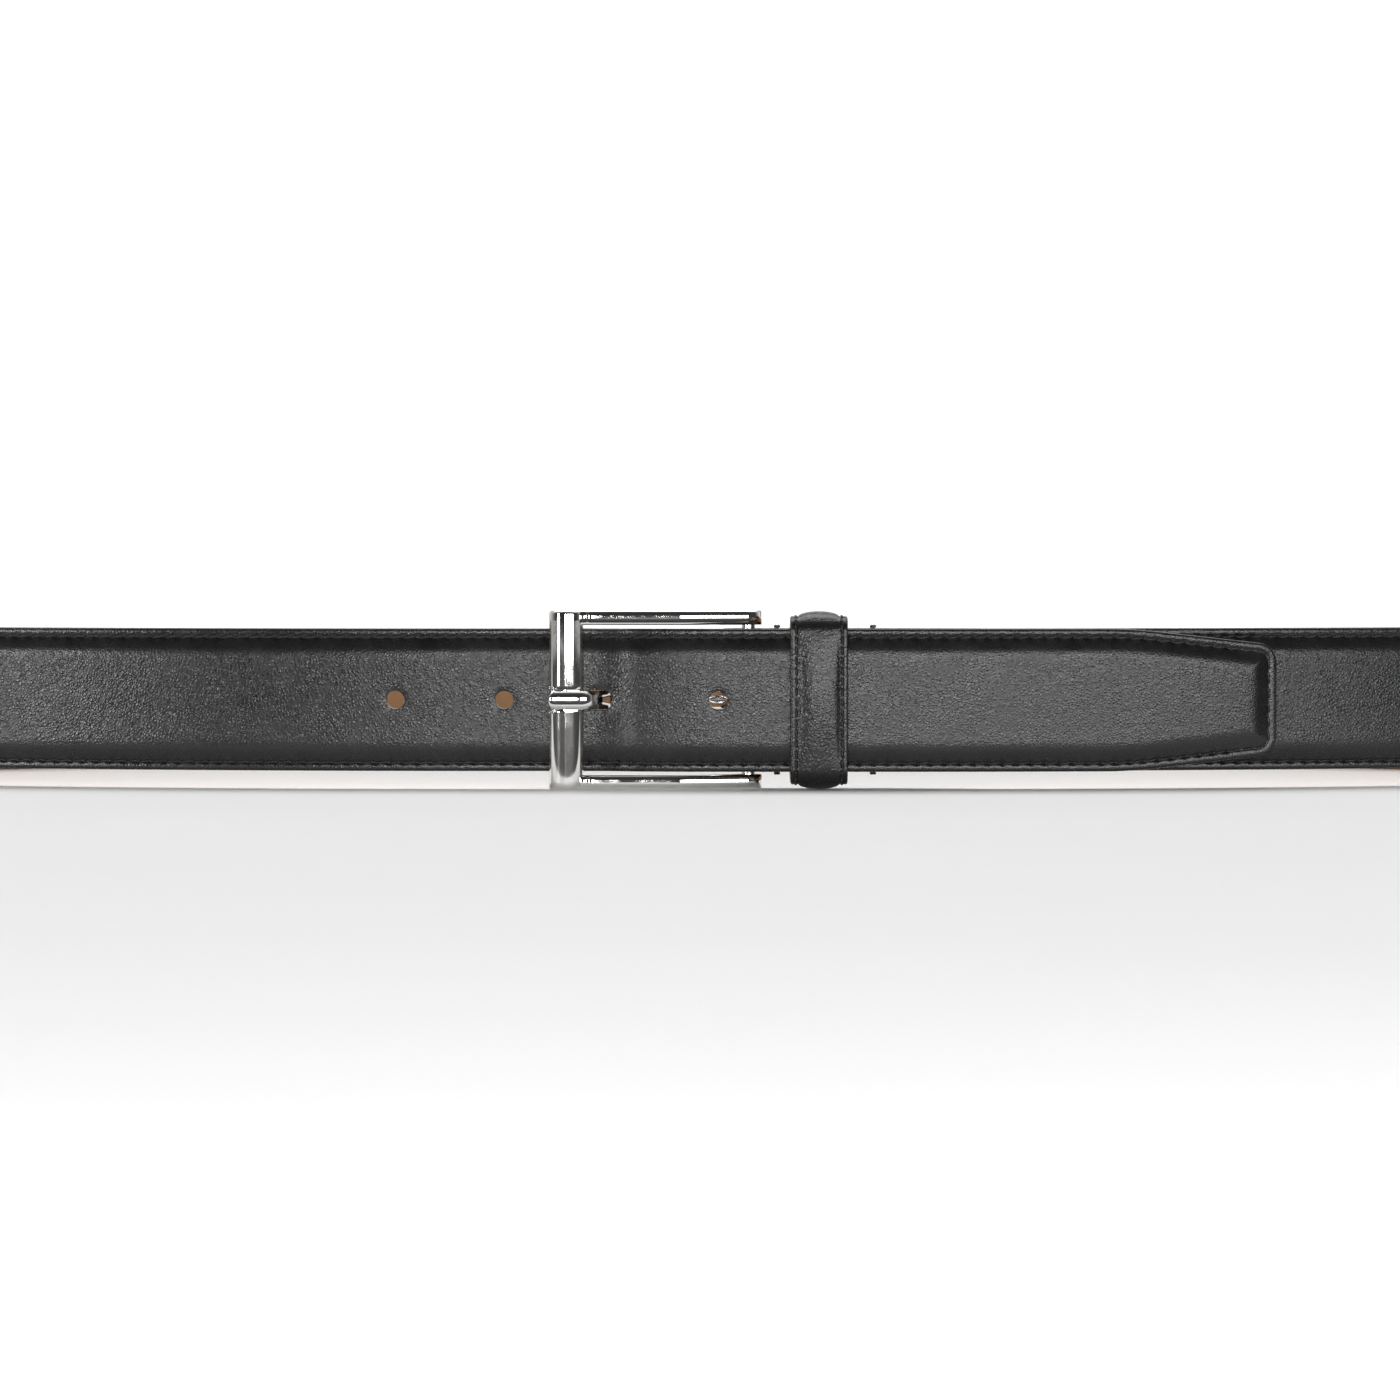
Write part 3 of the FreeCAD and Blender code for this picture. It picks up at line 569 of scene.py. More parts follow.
def dress(piece, body, slot, *replaced):
    if body:
        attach(piece, body)
    if replaced:
        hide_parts(*replaced)


def hole_dimples(x, heights, holes):
    """Extra depth round the punched holes for one station."""
    extra = np.zeros_like(heights)
    for hole in holes:
        distance = np.hypot(x - hole, heights)
        extra += np.where(distance < 6, rim(distance), 0)
    return extra


def used_dimples(x, heights):
    """Extra depth round the drawn out hole in use."""
    over = np.maximum(np.abs(x - USED_HOLE_X) - 0.6, 0)
    distance = np.hypot(over, heights)
    return np.where(distance < 6, 0.22 * np.exp(-((distance - 2.1) / 1.0) ** 2), 0)


def needle_pits(along, heights, half, first):
    """Extra depth where the stitches go through the leather."""
    nearest = first + round((along - first) / PITCH) * PITCH
    return pit(np.hypot(along - nearest, half - np.abs(heights) - STITCH_INSET))


def make_strap():
    first = 3.3
    steps = np.arange(0, STRAP.length, PITCH / 6)
    coarse = (steps > 190) & (steps < 560)
    index = np.arange(len(steps))
    steps = steps[~coarse | (index % 3 == 0)]
    steps = np.append(steps, STRAP.length)
    x, y, angle = STRAP.at(steps)
    half = np.full(len(steps), HALF)
    heights = section_heights(HALF)
    q = HALF - np.abs(heights)
    face, grain = [], []
    for i, along in enumerate(steps):
        depth = face_depth(q) + needle_pits(along, heights, HALF, first)
        if along > FRONT_FROM:
            depth += hole_dimples(x[i], heights, HOLES_X[:3]) + used_dimples(x[i], heights)
        if along < 6:
            depth += 0.25 * (1 - along / 6)
        face.append(depth)
        grain.append(grain_of(q))
    body = leather_solid("strap_leather", x, y, angle, half, np.array(face), np.array(grain),
                         LINING_AT, LEATHER)
    lining = lining_solid("strap_lining_leather", x[::2], y[::2], angle[::2], half[::2], TAN)
    for piece in (body, lining):
        for hole in HOLES_X[:3]:
            behind = 10 if hole < -26 else -0.1
            cutter = prism_y("cutter", circle(hole, MID_Z, HOLE_RADIUS, 56), -12, behind, INK)
            boolean(piece, cutter)
        boolean(piece, used_hole_cutter(USED_HOLE_RIGHT if piece is body else LINING_HOLE_RIGHT))
    dive = [(-24.5, 0.3), (-19.4, 0.0), (-17.0, 3.9), (-24.5, 3.9)]
    boolean(body, prism_z("cutter", dive, MID_Z - 2.35, MID_Z + 2.35, INK))
    dress(body, "strap", "black_leather", "strap_outer_leather", "strap_filler")
    dress(lining, "strap", "tan_leather", "strap_lining")
    return steps


def stitch_row(bag, path, low, high, up, depth, out_sign, radius=0.29, rise=0.26):
    """A row of stitches along the strap, on its face (out_sign -1) or its back (+1)."""
    def centre(along):
        x, y, angle = path.at(along)
        left = np.stack([-np.sin(angle), np.cos(angle)], 1)
        px, py = x + left[:, 0] * depth, y + left[:, 1] * depth
        z = lift(py) + HALF + up * (HALF - STITCH_INSET)
        out = np.stack([left[:, 0], left[:, 1], np.zeros(len(x))], 1) * out_sign
        side = np.tile([0.0, 0.0, 1.0], (len(x), 1))
        return np.stack([px, py, z], 1), out, side
    count = int((high - low) / PITCH)
    stitches(bag, centre, low + np.arange(count + 1) * PITCH, radius, rise)


def make_strap_stitching():
    for name, up in (("lower_edge_thread", -1), ("upper_edge_thread", 1)):
        bag = Bag()
        stitch_row(bag, STRAP, 3.3, STRAP.length - 0.2, up, 1.02, -1)
        stitch_row(bag, STRAP, 3.3, STRAP.length - 0.2, up, THICK, 1, 0.2, 0.0)
        made = bag.make(name, THREAD)
        dress(made, "strap", "black_thread", "lower_edge_stitching" if up < 0 else "upper_edge_stitching")


def used_hole_cutter(right):
    """The hole in use, drawn out to a slot; `right` is its far end, longer behind the prong's dive."""
    return prism_y("cutter", slot_outline(-27.2, right, 2.28), -14, 12, INK)


def slot_outline(left, right, half):
    """A slot with rounded ends in x and z."""
    return (circle(right - half, MID_Z, half, 20, -90, 180)
            + circle(left + half, MID_Z, half, 20, 90, 180))


def prong_path():
    """The prong's middle line, from its tip to the hinge."""
    start_y, turn, radius = -2.3 - 0.05 - 0.95, math.radians(55), 3.0
    slope = (HINGE[1] - start_y - 2 * radius * (1 - math.cos(turn))) / math.sin(turn)
    across = 2 * radius * math.sin(turn) + slope * math.cos(turn)
    return Path((-34.9, start_y), 0.0, [("straight", 7.3), ("bend", radius, 55), ("straight", slope),
                                        ("bend", radius, -55), ("straight", HINGE[0] + 27.6 - across)])


# ---------------------------------------------------------------- free end

TAIL = Path((SEAM_X + 0.05, TIP_Y), 0.0, [("straight", FRONT_HALF - SEAM_X - 0.05),
                                          ("bend", FRONT_RADIUS - TIP_Y, FRONT_TURN)])


def tail_outline():
    """Half outline of the tail: length along it and half width, up to the middle of its end."""
    across = (TAPER_RADIUS * math.sin(TAPER) + TAPER_RUN * math.cos(TAPER)
              + TIP_CORNER * (1 - math.sin(TAPER)))
    end = TIP_X - SEAM_X - 0.05
    begin = end - across
    outline = [(0.0, HALF), (begin, HALF)]
    for turn in np.linspace(0, TAPER, 12)[1:]:
        outline.append((begin + TAPER_RADIUS * math.sin(turn),
                        HALF - TAPER_RADIUS * (1 - math.cos(turn))))
    x, w = outline[-1]
    x, w = x + TAPER_RUN * math.cos(TAPER), w - TAPER_RUN * math.sin(TAPER)
    outline.append((x, w))
    for turn in np.linspace(TAPER, math.pi / 2, 16)[1:]:
        outline.append((x + TIP_CORNER * (math.sin(turn) - math.sin(TAPER)),
                        w - TIP_CORNER * (math.cos(TAPER) - math.cos(turn))))
    outline.append((outline[-1][0], 0.0))
    return outline


def distance_to(outline, points):
    """Distance of points (n, 2) to a polyline."""
    best = np.full(len(points), 1e9)
    for (x0, w0), (x1, w1) in zip(outline[:-1], outline[1:]):
        run = np.array([x1 - x0, w1 - w0])
        length = run @ run
        if length < 1e-12:
            continue
        share = np.clip(((points - [x0, w0]) @ run) / length, 0, 1)
        best = np.minimum(best, np.linalg.norm(points - ([x0, w0] + share[:, None] * run), axis=1))
    return best


def make_tail():
    outline = tail_outline()
    end = outline[-1][0]
    lengths = np.array([p[0] for p in outline[:-1]])
    widths = np.array([p[1] for p in outline[:-1]])
    steps = np.arange(0, end - 8, 0.55)
    fine = end - np.array([7.4, 6.9, 6.4, 5.8, 5.5, 5.2, 4.95, 4.7, 4.45, 4.2, 3.95, 3.7, 3.45, 3.2, 3.0,
                           2.8, 2.65, 2.5,
                           2.28, 2.14, 2.0, 1.86, 1.72, 1.5, 1.35, 1.2, 1.0, .85, .7, .55, .42,
                           .3, .2, .14, .09,
                           .05, .02, 0.0])
    steps = np.append(steps, fine)
    half = np.interp(steps, lengths, widths)
    half[-1] = widths[-1]
    x, y, angle = TAIL.at(steps)
    face, grain = [], []
    for i, along in enumerate(steps):
        heights = section_heights(half[i])
        q = distance_to(outline, np.stack([np.full(len(heights), along), np.abs(heights)], 1))
        depth = face_depth(q)
        if along < 8:
            depth = depth + hole_dimples(x[i], heights, HOLES_X[3:])
        nearest = along - round(along / PITCH) * PITCH
        if along < end - 12:
            depth = depth + pit(np.hypot(nearest, q - STITCH_INSET))
        face.append(depth)
        grain.append(grain_of(q))
    body = leather_solid("tail_leather", x, y, angle, half, np.array(face), np.array(grain),
                         LINING_AT, LEATHER)
    lining = lining_solid("tail_lining_leather", x, y, angle, half, TAN)
    for piece in (body, lining):
        boolean(piece, prism_y("cutter", circle(HOLES_X[3], MID_Z, HOLE_RADIUS, 56), -12, -0.1, INK))
    bag = Bag()
    row = inset_row(outline, STITCH_INSET)
    total = row[-1][0]
    count = int(round(total / PITCH))
    needles = np.linspace(0, total, count + 1)
    arc = np.array([p[0] for p in row])
    for up in (1, -1):
        for depth, out_sign, radius, rise in ((1.02, -1, 0.29, 0.26), (THICK, 1, 0.2, 0.0)):
            def centre(along, up=up, depth=depth, out_sign=out_sign):
                s = np.interp(along, arc, [p[1] for p in row])
                w = np.interp(along, arc, [p[2] for p in row])
                px, py, angle = TAIL.at(s)
                left = np.stack([-np.sin(angle), np.cos(angle)], 1)
                out = np.stack([left[:, 0], left[:, 1], np.zeros(len(s))], 1) * out_sign
                ahead = np.stack([np.gradient(s), np.gradient(w)], 1)
                ahead /= np.linalg.norm(ahead, axis=1, keepdims=True)
                side = np.stack([-ahead[:, 1] * up, np.zeros(len(s)), ahead[:, 0]], 1)
                qx, qy = px + left[:, 0] * depth, py + left[:, 1] * depth
                return np.stack([qx, qy, lift(qy) + HALF + up * w], 1), out, side
            stitches(bag, centre, needles, radius, rise)
    thread = bag.make("tail_thread", THREAD)
    dress(body, None, "black_leather", "tip_outer_leather", "tip_filler")
    dress(lining, None, "tan_leather", "tip_lining")
    dress(thread, None, "black_thread", "tip_stitching")
    low, high = Vector(place([(46.0, 0, MID_Z)])[0]), Vector(place([(52.0, 0, MID_Z)])[0])
    for piece in (body, lining, thread):
        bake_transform(piece)


def inset_row(outline, inset):
    """The outline moved inwards, as (arc length, length along the tail, half width)."""
    points = np.array(outline)
    dense = []
    for a, b in zip(points[:-1], points[1:]):
        parts = max(2, int(np.linalg.norm(b - a) / 0.4))
        dense += [a + (b - a) * k / parts for k in range(parts)]
    dense.append(points[-1])
    dense = np.array(dense)
    ahead = np.gradient(dense, axis=0)
    length = np.linalg.norm(ahead, axis=1, keepdims=True)
    ahead = ahead / np.maximum(length, 1e-9)
    moved = dense + inset * np.stack([ahead[:, 1], -ahead[:, 0]], 1)
    moved = moved[(moved[:, 1] >= 0) & (moved[:, 0] <= points[-1][0] - inset + 1e-3)]
    arc = np.concatenate([[0], np.cumsum(np.linalg.norm(np.diff(moved, axis=0), axis=1))])
    return [(s, p[0], p[1]) for s, p in zip(arc, moved)]


# ---------------------------------------------------------------- turn back

def make_turn_back():
    path = fold_path()
    steps = np.concatenate([np.arange(0, path.length, 0.7), [path.length]])
    x, y, angle = path.at(steps)
    heights = section_heights(HALF)
    q = HALF - np.abs(heights)
    rounded = np.interp(q, [0, .05, .15, .35, .7, 1.2], [.85, .55, .32, .14, .04, 0.0])
    face, grain = [], []
    for along in steps:
        end = np.interp(along, [0, .4, 1.2, 4], [1.5, 1.0, .6, 0.0])
        joined = (0.9 * np.clip((along - (path.length - 5.5)) / 5.5, 0, 1)
                  * np.interp(q, [2.6, 6.5], [1, 0]))
        face.append(np.minimum(rounded + end + joined, 2.1))
        grain.append(np.interp(q, [0, 1], [0.2, 0.8]))
    made = leather_solid("turned_back_tab", x, y, angle, np.full(len(x), HALF),
                         np.array(face), np.array(grain),
                         FOLD_THICK, LEATHER)
    boolean(made, prism_y("cutter", slot_outline(-14.0, 16.0, 3.2), -0.1, 9.2, INK))
    dress(made, "strap", "black_leather", "strap_outer_leather")


def make_cross_stitch(name, at, node):
    """Doubled thread across the tab, over both edges of the strap, with a knot at each edge."""
    bag = Bag()
    for offset in (-0.24, 0.24):
        for up in (1, -1):
            corners = [(0.95, 14.9), (0.62, 15.2), (0.5, 15.9), (0.7, 16.7), (1.3, 17.0),
                       (3.6, 17.02), (7.6, 17.02),
                       (8.45, 16.8), (8.72, 16.0), (8.74, 12.0), (8.74, 6.0), (8.74, 0.0)]
            dense = smooth_line(corners, 60)
            twist = np.linspace(0, 9, len(dense))
            line = [(at + offset * math.cos(t) , d + 0.08 * math.sin(t), MID_Z + up * h)
                    for (d, h), t in zip(dense, twist)]
            bag.add(*tube(line, 0.27, 7))
    for up in (1, -1):
        turns = np.linspace(0, 2 * math.pi * 2.2, 40)
        line = [(at + 0.5 * math.cos(t), 1.55 + 0.5 * t / 13.8 + 0.42 * math.sin(t),
                 MID_Z + up * (17.0 + 0.1 * math.sin(2 * t)))
                for t in turns]
        bag.add(*tube(line, 0.26, 7))
    made = bag.make(name, THREAD)
    dress(made, "strap", "black_thread", node)


def smooth_line(corners, count):
    """Points of a rounded line through corners."""
    points = np.array(corners, float)
    arc = np.concatenate([[0], np.cumsum(np.linalg.norm(np.diff(points, axis=0), axis=1))])
    share = np.linspace(0, arc[-1], count)
    line = np.stack([np.interp(share, arc, points[:, k]) for k in range(2)], 1)
    for _ in range(3):
        line[1:-1] = (line[:-2] + 2 * line[1:-1] + line[2:]) / 4
    return line


# ---------------------------------------------------------------- keeper

KEEPER_LEFT, KEEPER_WIDE = 20.8, 13.2


def keeper_ring(x, reach, back_reach):
    """A rounded rectangle round the keeper's opening at one x."""
    half, front, back = 17.4 + reach, -4.2 - reach, 3.9 + back_reach
    r_front, r_back = 1.6 + reach, 1.6 + back_reach
    corners = [(front + r_front, MID_Z - half + r_front, r_front, 180, 90),
               (back - r_back, MID_Z - half + r_back, r_back, 270, 90),
               (back - r_back, MID_Z + half - r_back, r_back, 0, 90),
               (front + r_front, MID_Z + half - r_front, r_front, 90, 90)]
    points = []
    for y, z, radius, start, turn in corners:
        points += [(y + radius * math.cos(a), z + radius * math.sin(a))
                   for a in np.radians(start + np.linspace(0, turn, 13))]
    ring = []
    for number in range(4):
        arc = points[number * 13:(number + 1) * 13]
        following = points[((number + 1) * 13) % 52]
        ring += arc
        last = arc[-1]
        parts = 26 if number in (1, 3) or abs(following[1] - last[1]) > 10 else 8
        ring += [(last[0] + (following[0] - last[0]) * k / parts,
                  last[1] + (following[1] - last[1]) * k / parts)
                 for k in range(1, parts)]
    return [(x, y, z) for y, z in ring]


def keeper_profile():
    """Distance along the keeper and reach over its opening: stitched flanges, round crown."""
    profile = [(0, .95), (0, 1.5), (.1, 1.8), (.3, 1.96), (.7, 2.0), (1.0, 1.93), (1.3, 1.82),
               (1.6, 1.9), (1.8, 2.0)]
    for share in np.linspace(-1, 0, 13):
        profile.append((KEEPER_WIDE / 2 + 4.7 * share, 2.02 + 1.08 * (1 - abs(share) ** 2.1) ** 0.62))
    return profile + [(KEEPER_WIDE - v, r) for v, r in profile[:-1]][::-1]


def make_keeper():
    rings, grain = [], []
    for a, reach in keeper_profile():
        ring = np.array(keeper_ring(KEEPER_LEFT + a, reach, min(reach, 1.9)))
        bow = 0.3 + 1.3 * np.clip((reach - 2.0) / 1.1, 0, 1)
        ring[:, 1] += np.where(ring[:, 1] < 0, bow * (np.abs(ring[:, 2] - MID_Z) / 20) ** 2, 0)
        rings.append(ring)
        grain.append(0.25 if abs(a - KEEPER_WIDE / 2) > 5 else 0.8)
    for a in (KEEPER_WIDE, 9.0, 4.2, 0.0):
        rings.append(keeper_ring(KEEPER_LEFT + a, 0.92, 0.92))
        grain.append(0.2)
    rings = np.array(rings)
    crowd = np.repeat(grain, rings.shape[1])
    made = new_object("keeper_leather", *loft(rings, True, True), KEEPER_LEATHER,
                      attributes={"grain": crowd})
    dress(made, "keeper", "black_leather", "keeper_outer_leather", "keeper_padding")
    rings, ink = [], []
    for a, reach, black in ((0, .88, .6), (0.05, .5, .2), (0, .1, 0), (.2, .0, 0), (4, 0, 0), (9.2, 0, 0),
                            (KEEPER_WIDE - .2, 0, 0), (KEEPER_WIDE, .1, 0), (KEEPER_WIDE - .05, .5, .2),
                            (KEEPER_WIDE, .88, .6), (9, .9, 1), (4, .9, 1)):
        rings.append(keeper_ring(KEEPER_LEFT + a, reach, reach))
        ink.append(black)
    rings = np.array(rings)
    lining = new_object("keeper_lining_leather", *loft(rings, True, True), TAN,
                        attributes={"ink": np.repeat(ink, rings.shape[1])})
    dress(lining, "keeper", "tan_leather", "keeper_lining")
    for name, at, node in (("keeper_left_thread", 1.3, "keeper_left_stitching"),
                           ("keeper_right_thread", KEEPER_WIDE - 1.3, "keeper_right_stitching")):
        bag = Bag()
        line = np.array(keeper_ring(KEEPER_LEFT + at, 1.9, 1.9))
        line = np.vstack([line, line[:1]])
        arc = np.concatenate([[0], np.cumsum(np.linalg.norm(np.diff(line, axis=0), axis=1))])
        middle = np.array([0, -0.15, MID_Z])
        count = int(round(arc[-1] / 2.4))
        needles = np.linspace(0, arc[-1], count + 1)

        def centre(along):
            point = np.stack([np.interp(along, arc, line[:, k]) for k in range(3)], 1)
            step = 0.2
            ahead = (np.stack([np.interp((along + step) % arc[-1], arc, line[:, k])
                               for k in range(3)], 1)
                     - np.stack([np.interp((along - step) % arc[-1], arc, line[:, k])
                                 for k in range(3)], 1))
            ahead /= np.linalg.norm(ahead, axis=1, keepdims=True)
            side = np.tile([1.0, 0, 0], (len(along), 1))
            out = np.cross(ahead, side)
            flip = np.sign(((point - middle) * out).sum(1))
            return point, out * flip[:, None], side
        stitches(bag, centre, needles, 0.26, 0.24, 0.12)
        made = bag.make(name, THREAD)
        dress(made, "keeper", "black_thread", node)


# ---------------------------------------------------------------- buckle

def bar_outline(inset):
    """The front bar's section in x and y: crowned face, short flanks, flat back."""
    radius = (3.95 ** 2 + 2.2 ** 2) / (2 * 2.2)
    swing = math.degrees(math.asin(3.95 / radius))
    arc = [(-30.85 + (radius - inset) * math.sin(a), -3.7 + radius - (radius - inset) * math.cos(a))
           for a in np.radians(np.linspace(-swing, swing, 41))]
    flank = 3.9 - inset
    back = [(-30.85 + flank, -1.2), (-30.85 + flank, -0.6), (-30.85 + flank - 0.3, -0.3),
            (-30.85 - flank + 0.3, -0.3), (-30.85 - flank, -0.6), (-30.85 - flank, -1.2)]
    return arc + back


def rounding(distance, radius):
    """How far a face stands back at a distance from a rounded end."""
    return radius - math.sqrt(max(0.0, radius ** 2 - max(0.0, radius - distance) ** 2))


def make_bar():
    ends = [0, .04, .12, .25, .42, .62, .85]
    heights = ends + list(np.arange(2.0, 39.5, 1.0)) + [41.4 - t for t in reversed(ends)]
    rings = []
    for z in heights:
        inset = rounding(min(z, 41.4 - z), 0.85)
        rings.append([(x, y, z) for x, y in bar_outline(inset)])
    bar = new_object("buckle_front_bar", *loft(np.array(rings)), CHROME, 50)
    seat = [(-37, -9), (-37, -3.45), (-35.2, -2.3), (-25.6, -2.3), (-24.6, -2.6), (-24, -9)]
    boolean(bar, prism_z("cutter", seat, MID_Z - 2.55, MID_Z + 2.55, CHROME), "DIFFERENCE", 50)
    bevel(bar, 0.22, 3, 50, 50)
    dress(bar, "buckle", "polished_metal")
    lips = Bag()
    for up in (-1, 1):
        for side in (0, 1):
            x = -34.6 + 0.9 * side
            line = [(x, -2.6 - 1.0 * side, MID_Z + up * (2.62 + 0.12 * t)) for t in range(5)]
            lips.add(*tube(line, 0.3, 10))
    dress(lips.make("prong_seat_lips", CHROME), "buckle", "polished_metal")


def along_lines(corners, count):
    """Evenly spaced points along a line with rounded corners."""
    points = np.array(corners)
    arc = np.concatenate([[0], np.cumsum(np.linalg.norm(np.diff(points, axis=0), axis=1))])
    at = np.linspace(0, arc[-1], count)
    return np.stack([np.interp(at, arc, points[:, k]) for k in range(2)], 1)


def make_side_members():
    """The two side members, each necked where it leaves the bar and bull nosed round the hinge bar."""
    face = [(-28.9, -2.3), (-27.2, -2.35), (-26.6, -2.3), (-26.2, -2.35), (-25.9, -2.6), (-25.6, -2.8),
            (-25.2, -2.9)]
    face += [(x, -2.9) for x in np.linspace(-24, -6.2, 12)]
    face += [(-4.6 + 9 * math.sin(t) - 0.1, -2.9 + 9 * (1 - math.cos(t)))
             for t in np.radians(np.linspace(0, 13.9, 9))]
    last = face[-1]
    slope = math.tan(math.radians(13.9))
    face += [(x, last[1] + (x - last[0]) * slope) for x in np.linspace(-1.5, 11.2, 9)]
    face += [(HINGE[0] + LUG_RADIUS * math.cos(t), HINGE[1] + LUG_RADIUS * math.sin(t))
             for t in np.radians(np.linspace(-70, 8, 12))]
    back = [(-28.9, -0.3), (-20, -0.2), (-4.6, 0.1), (-2.6, 0.55), (2.0, 2.5), (6.6, 4.4), (8.0, 5.3)]
    back += [(HINGE[0] + LUG_RADIUS * math.cos(t), HINGE[1] + LUG_RADIUS * math.sin(t))
             for t in np.radians(np.linspace(148, 12, 14))]
    outer, inner = along_lines(face, 110), along_lines(back, 110)
    corner = [(0, 1), (.1, .69), (.3, .41), (.59, .19), (1, 0)]
    for name, low, high in (("buckle_lower_member", 0.03, 3.35), ("buckle_upper_member", 38.05, 41.37)):
        rings = []
        for o, i in zip(outer, inner):
            through = i - o
            thick = np.linalg.norm(through)
            through /= max(thick, 1e-6)
            r = min(0.62, thick * 0.45)
            ring = []
            for u, v in corner:
                ring.append((*(o + through * v * r), low + u * r))
            for u, v in corner[::-1]:
                ring.append((*(o + through * v * r), high - u * r))
            for u, v in corner:
                ring.append((*(i - through * v * r), high - u * r))
            for u, v in corner[::-1]:
                ring.append((*(i - through * v * r), low + u * r))
            rings.append(ring)
        member = new_object(name, *loft(np.array(rings)), CHROME, 50)
        dress(member, "buckle", "polished_metal", "buckle_frame")


def make_prong():
    path = prong_path()
    steps = np.concatenate([np.array([0, .06, .2, .42, .7, 1.0, 1.3]),
                            np.arange(1.8, path.length - 2.3, 0.35)])
    x, y, angle = path.at(steps)
    section = [(-1, .95), (-1, -.15), (-.93, -.4), (-.62, -.86), (-.52, -.95), (.52, -.95),
               (.62, -.86), (.93, -.4),
               (1, -.15), (1, .95)]
    rings = []
    for i, along in enumerate(steps):
        half = PRONG_HALF
        if along < 1.3:
            half -= 1.15 * (1 - math.sqrt(max(0, 1 - (1 - along / 1.3) ** 2)))
        thin = 1 - 0.35 * max(0, 1 - along / 0.7) ** 2
        left = (-math.sin(angle[i]), math.cos(angle[i]))
        rings.append([(x[i] + left[0] * d * (thin if d < 0 else 1),
                       y[i] + left[1] * d * (thin if d < 0 else 1),
                       MID_Z + w * half) for w, d in section])
    made = new_object("polished_prong", *loft(np.array(rings)), CHROME, 25)
    curl = prism_z("curl", circle(*HINGE, 2.66, 56), MID_Z - 2.5, MID_Z + 2.5, CHROME)
    boolean(made, curl, "UNION", 25)
    boolean(made, prism_z("cutter", circle(*HINGE, 1.56, 40), MID_Z - 5, MID_Z + 5, CHROME),
            "DIFFERENCE", 25)
    dress(made, "prong", "polished_metal", "prong")


# ---------------------------------------------------------------- room and light

def area_light(name, at, look_at, size, power):
    """A rectangular studio light that the camera itself does not see."""
    data = bpy.data.lights.new(name, "AREA")
    data.shape, data.size, data.size_y = "RECTANGLE", size[0], size[1]
    data.energy = power
    made = bpy.data.objects.new(name, data)
    bpy.context.scene.collection.objects.link(made)
    made.location = at
    made.rotation_euler = (Vector(look_at) - Vector(at)).to_track_quat("-Z", "Y").to_euler()
    made.visible_camera = False


def make_room():
    n = Nodes("floor_paint")
    n.where = n.coords()
    haze = n.noise(6.0, 3.0)
    floor = n.to(Base_Color=n.mix(haze, (0.9, 0.9, 0.9), (0.93, 0.93, 0.93)), Roughness=0.8)
    profile = [(-1.6, 0.0), (1.6, 0.0)]
    profile += [(1.6 + 0.8 * math.sin(a), 0.8 * (1 - math.cos(a)))
                for a in np.radians(np.linspace(6, 90, 15))]
    profile.append((2.4, 4.0))
    verts = [(x, y, z) for y, z in profile for x in (-4.0, 4.0)]
    faces = [(2 * i, 2 * i + 1, 2 * i + 3, 2 * i + 2) for i in range(len(profile) - 1)]
    mesh = bpy.data.meshes.new("floor")
    mesh.from_pydata(verts, [], faces)
    mesh.materials.append(floor)
    for polygon in mesh.polygons:
        polygon.use_smooth = True
    room = bpy.data.objects.new("floor", mesh)
    bpy.context.scene.collection.objects.link(room)
    world = bpy.data.worlds.new("studio")
    bpy.context.scene.world = world
    world.use_nodes = True
    light_world(world.node_tree)
    centre = (0, SHIFT_Y * MM, 0.03)
    area_light("softbox_far_left", (-0.83, -0.87, 0.13), centre, (0.22, 0.26), 3.5)
    area_light("softbox_near_left", (-0.11, -1.26, 0.13), (-0.05, SHIFT_Y * MM, 0.02),
               (0.1, 0.26), 2.6)
    area_light("softbox_right", (0.42, -1.15, 0.13), centre, (0.8, 0.26), 5.0)
    area_light("top", (0.0, 0.25, 1.0), centre, (1.2, 0.6), 5)
    area_light("back_wall", (0.0, 0.9, 1.4), (0, 2.2, 0.6), (2.6, 1.0), 34)
    area_light("floor_wash", (0.0, 0.35, 1.9), (0, -0.1, 0), (2.4, 1.4), 8)
    black_flag()


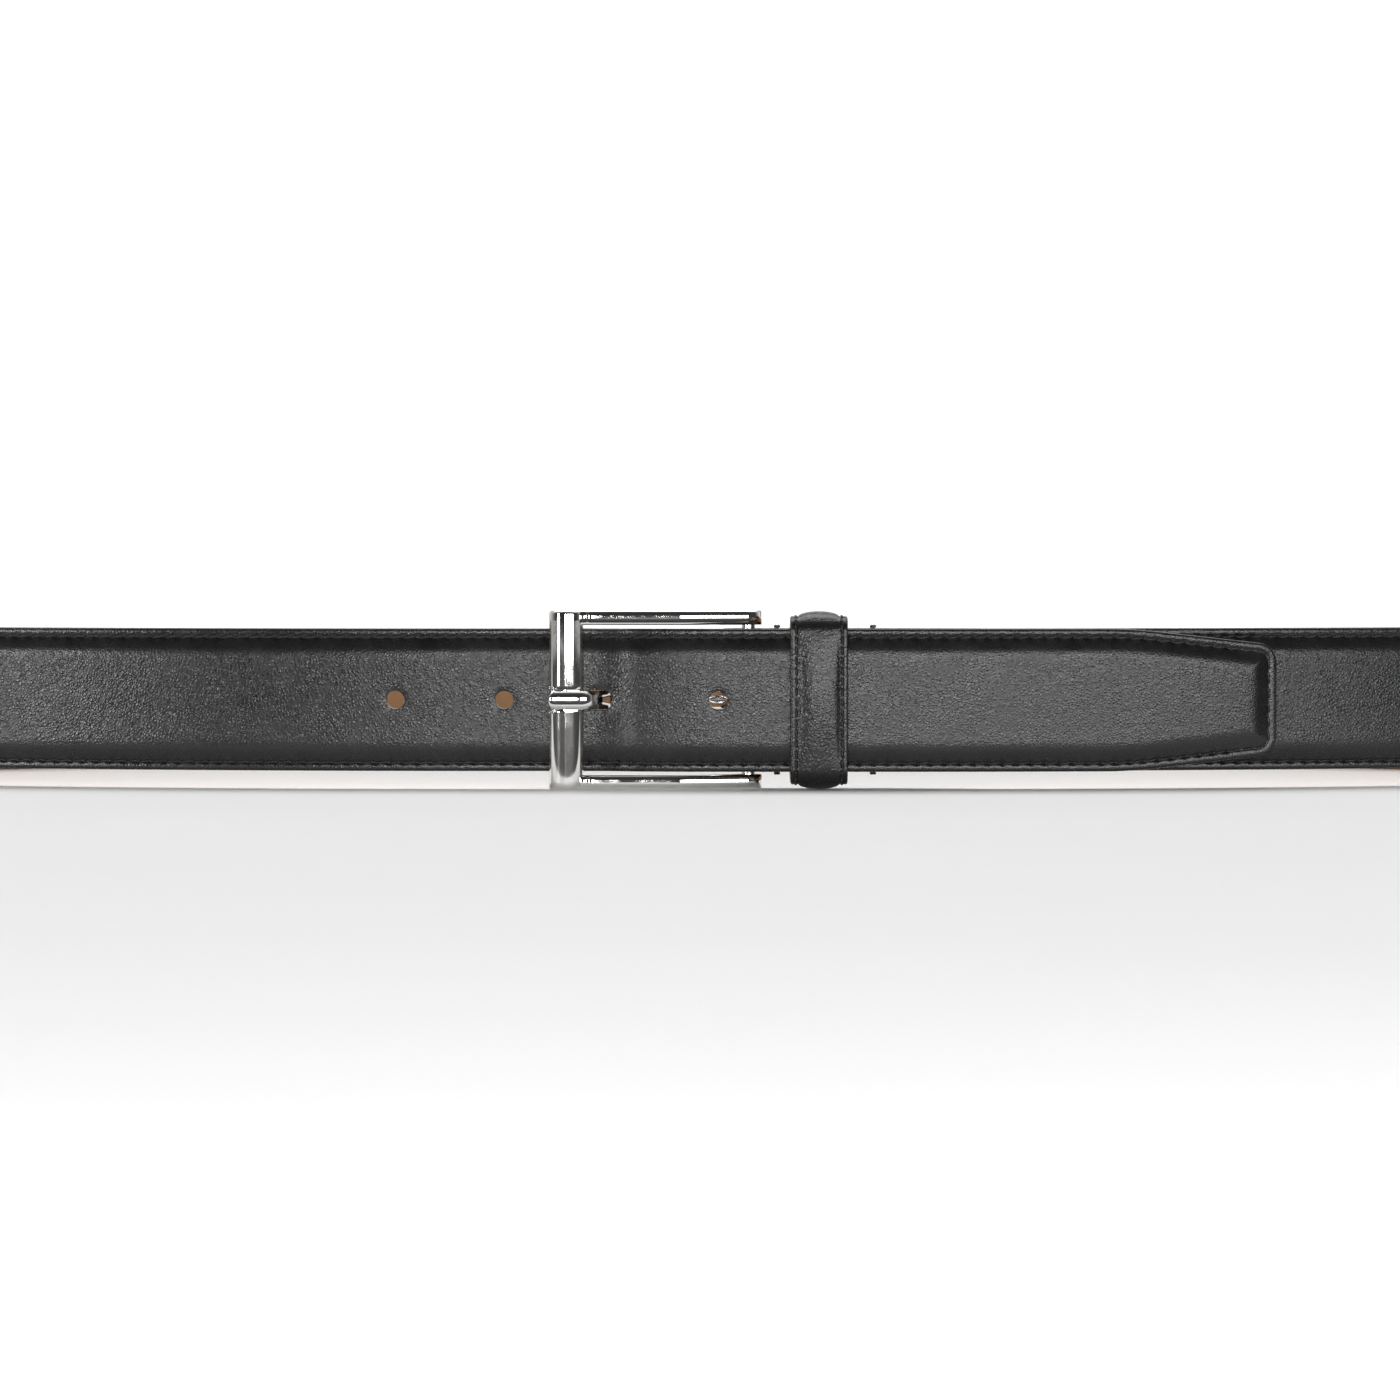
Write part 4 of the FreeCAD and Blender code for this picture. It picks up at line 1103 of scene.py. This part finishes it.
def black_flag():
    """A black card on the studio floor that only reflections see, so that the polish has dark bands."""
    n = Nodes("flag_cloth")
    n.where = n.coords()
    cloth = n.to(Base_Color=n.mix(n.noise(40.0), (0.004, 0.004, 0.004), (0.01, 0.01, 0.01)),
                 Roughness=0.9)
    front = SHIFT_Y * MM
    corners = ((-1.3, -1.2), (1.3, -1.2), (1.3, -0.055), (-1.3, -0.055))
    verts = [(x, front + y, 0.0006) for x, y in corners]
    mesh = bpy.data.meshes.new("flag")
    mesh.from_pydata(verts, [], [(0, 1, 2, 3)])
    mesh.materials.append(cloth)
    flag = bpy.data.objects.new("flag", mesh)
    bpy.context.scene.collection.objects.link(flag)
    flag.visible_camera = flag.visible_diffuse = flag.visible_shadow = flag.visible_transmission = False


def light_world(tree):
    """White studio behind and above the belt, dark in front of it, so that the polish has bands."""
    link, new = tree.links.new, tree.nodes.new
    where, split = new("ShaderNodeTexCoord"), new("ShaderNodeSeparateXYZ")
    link(where.outputs["Generated"], split.inputs[0])
    ramp = new("ShaderNodeValToRGB")
    stops = ((0.0, 0.03), (0.3, 0.05), (0.55, 0.5), (0.75, 1.0), (1.0, 1.0))
    while len(ramp.color_ramp.elements) < len(stops):
        ramp.color_ramp.elements.new(0.5)
    for element, (at, value) in zip(ramp.color_ramp.elements, stops):
        element.position, element.color = at, (value, value, value, 1)
    spread = new("ShaderNodeMapRange")
    spread.inputs["From Min"].default_value = -1.0
    link(split.outputs["Y"], spread.inputs["Value"])
    link(spread.outputs["Result"], ramp.inputs["Fac"])
    background = tree.nodes["Background"]
    link(ramp.outputs["Color"], background.inputs["Color"])
    background.inputs["Strength"].default_value = 1.0


def make_camera():
    data = bpy.data.cameras.new("camera")
    data.sensor_width, data.lens = 36.0, 133.7
    data.clip_start, data.clip_end = 0.01, 30
    camera = bpy.data.objects.new("camera", data)
    bpy.context.scene.collection.objects.link(camera)
    aim = Vector((0.0, SHIFT_Y * MM, MID_Z * MM))
    camera.location = aim + Vector((0.0, -1.2, 0.038))
    camera.rotation_euler = (aim - camera.location).to_track_quat("-Z", "Y").to_euler()
    bpy.context.scene.camera = camera
    bpy.context.scene.view_settings.view_transform = "Standard"


def finish_cad_nodes():
    for name in ("hinge_bar", "keeper_staple"):
        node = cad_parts[name]
        node.data.materials.clear()
        node.data.materials.append(STEEL)
        for slot in node.material_slots:
            slot.material = STEEL


make_camera()
make_room()
make_strap()
make_strap_stitching()
make_tail()
make_turn_back()
make_cross_stitch("buckle_side_cross_thread", 17.8, "buckle_side_turnback_stitching")
make_cross_stitch("far_side_cross_thread", 40.0, "far_side_turnback_stitching")
make_keeper()
make_bar()
make_side_members()
make_prong()
finish_cad_nodes()
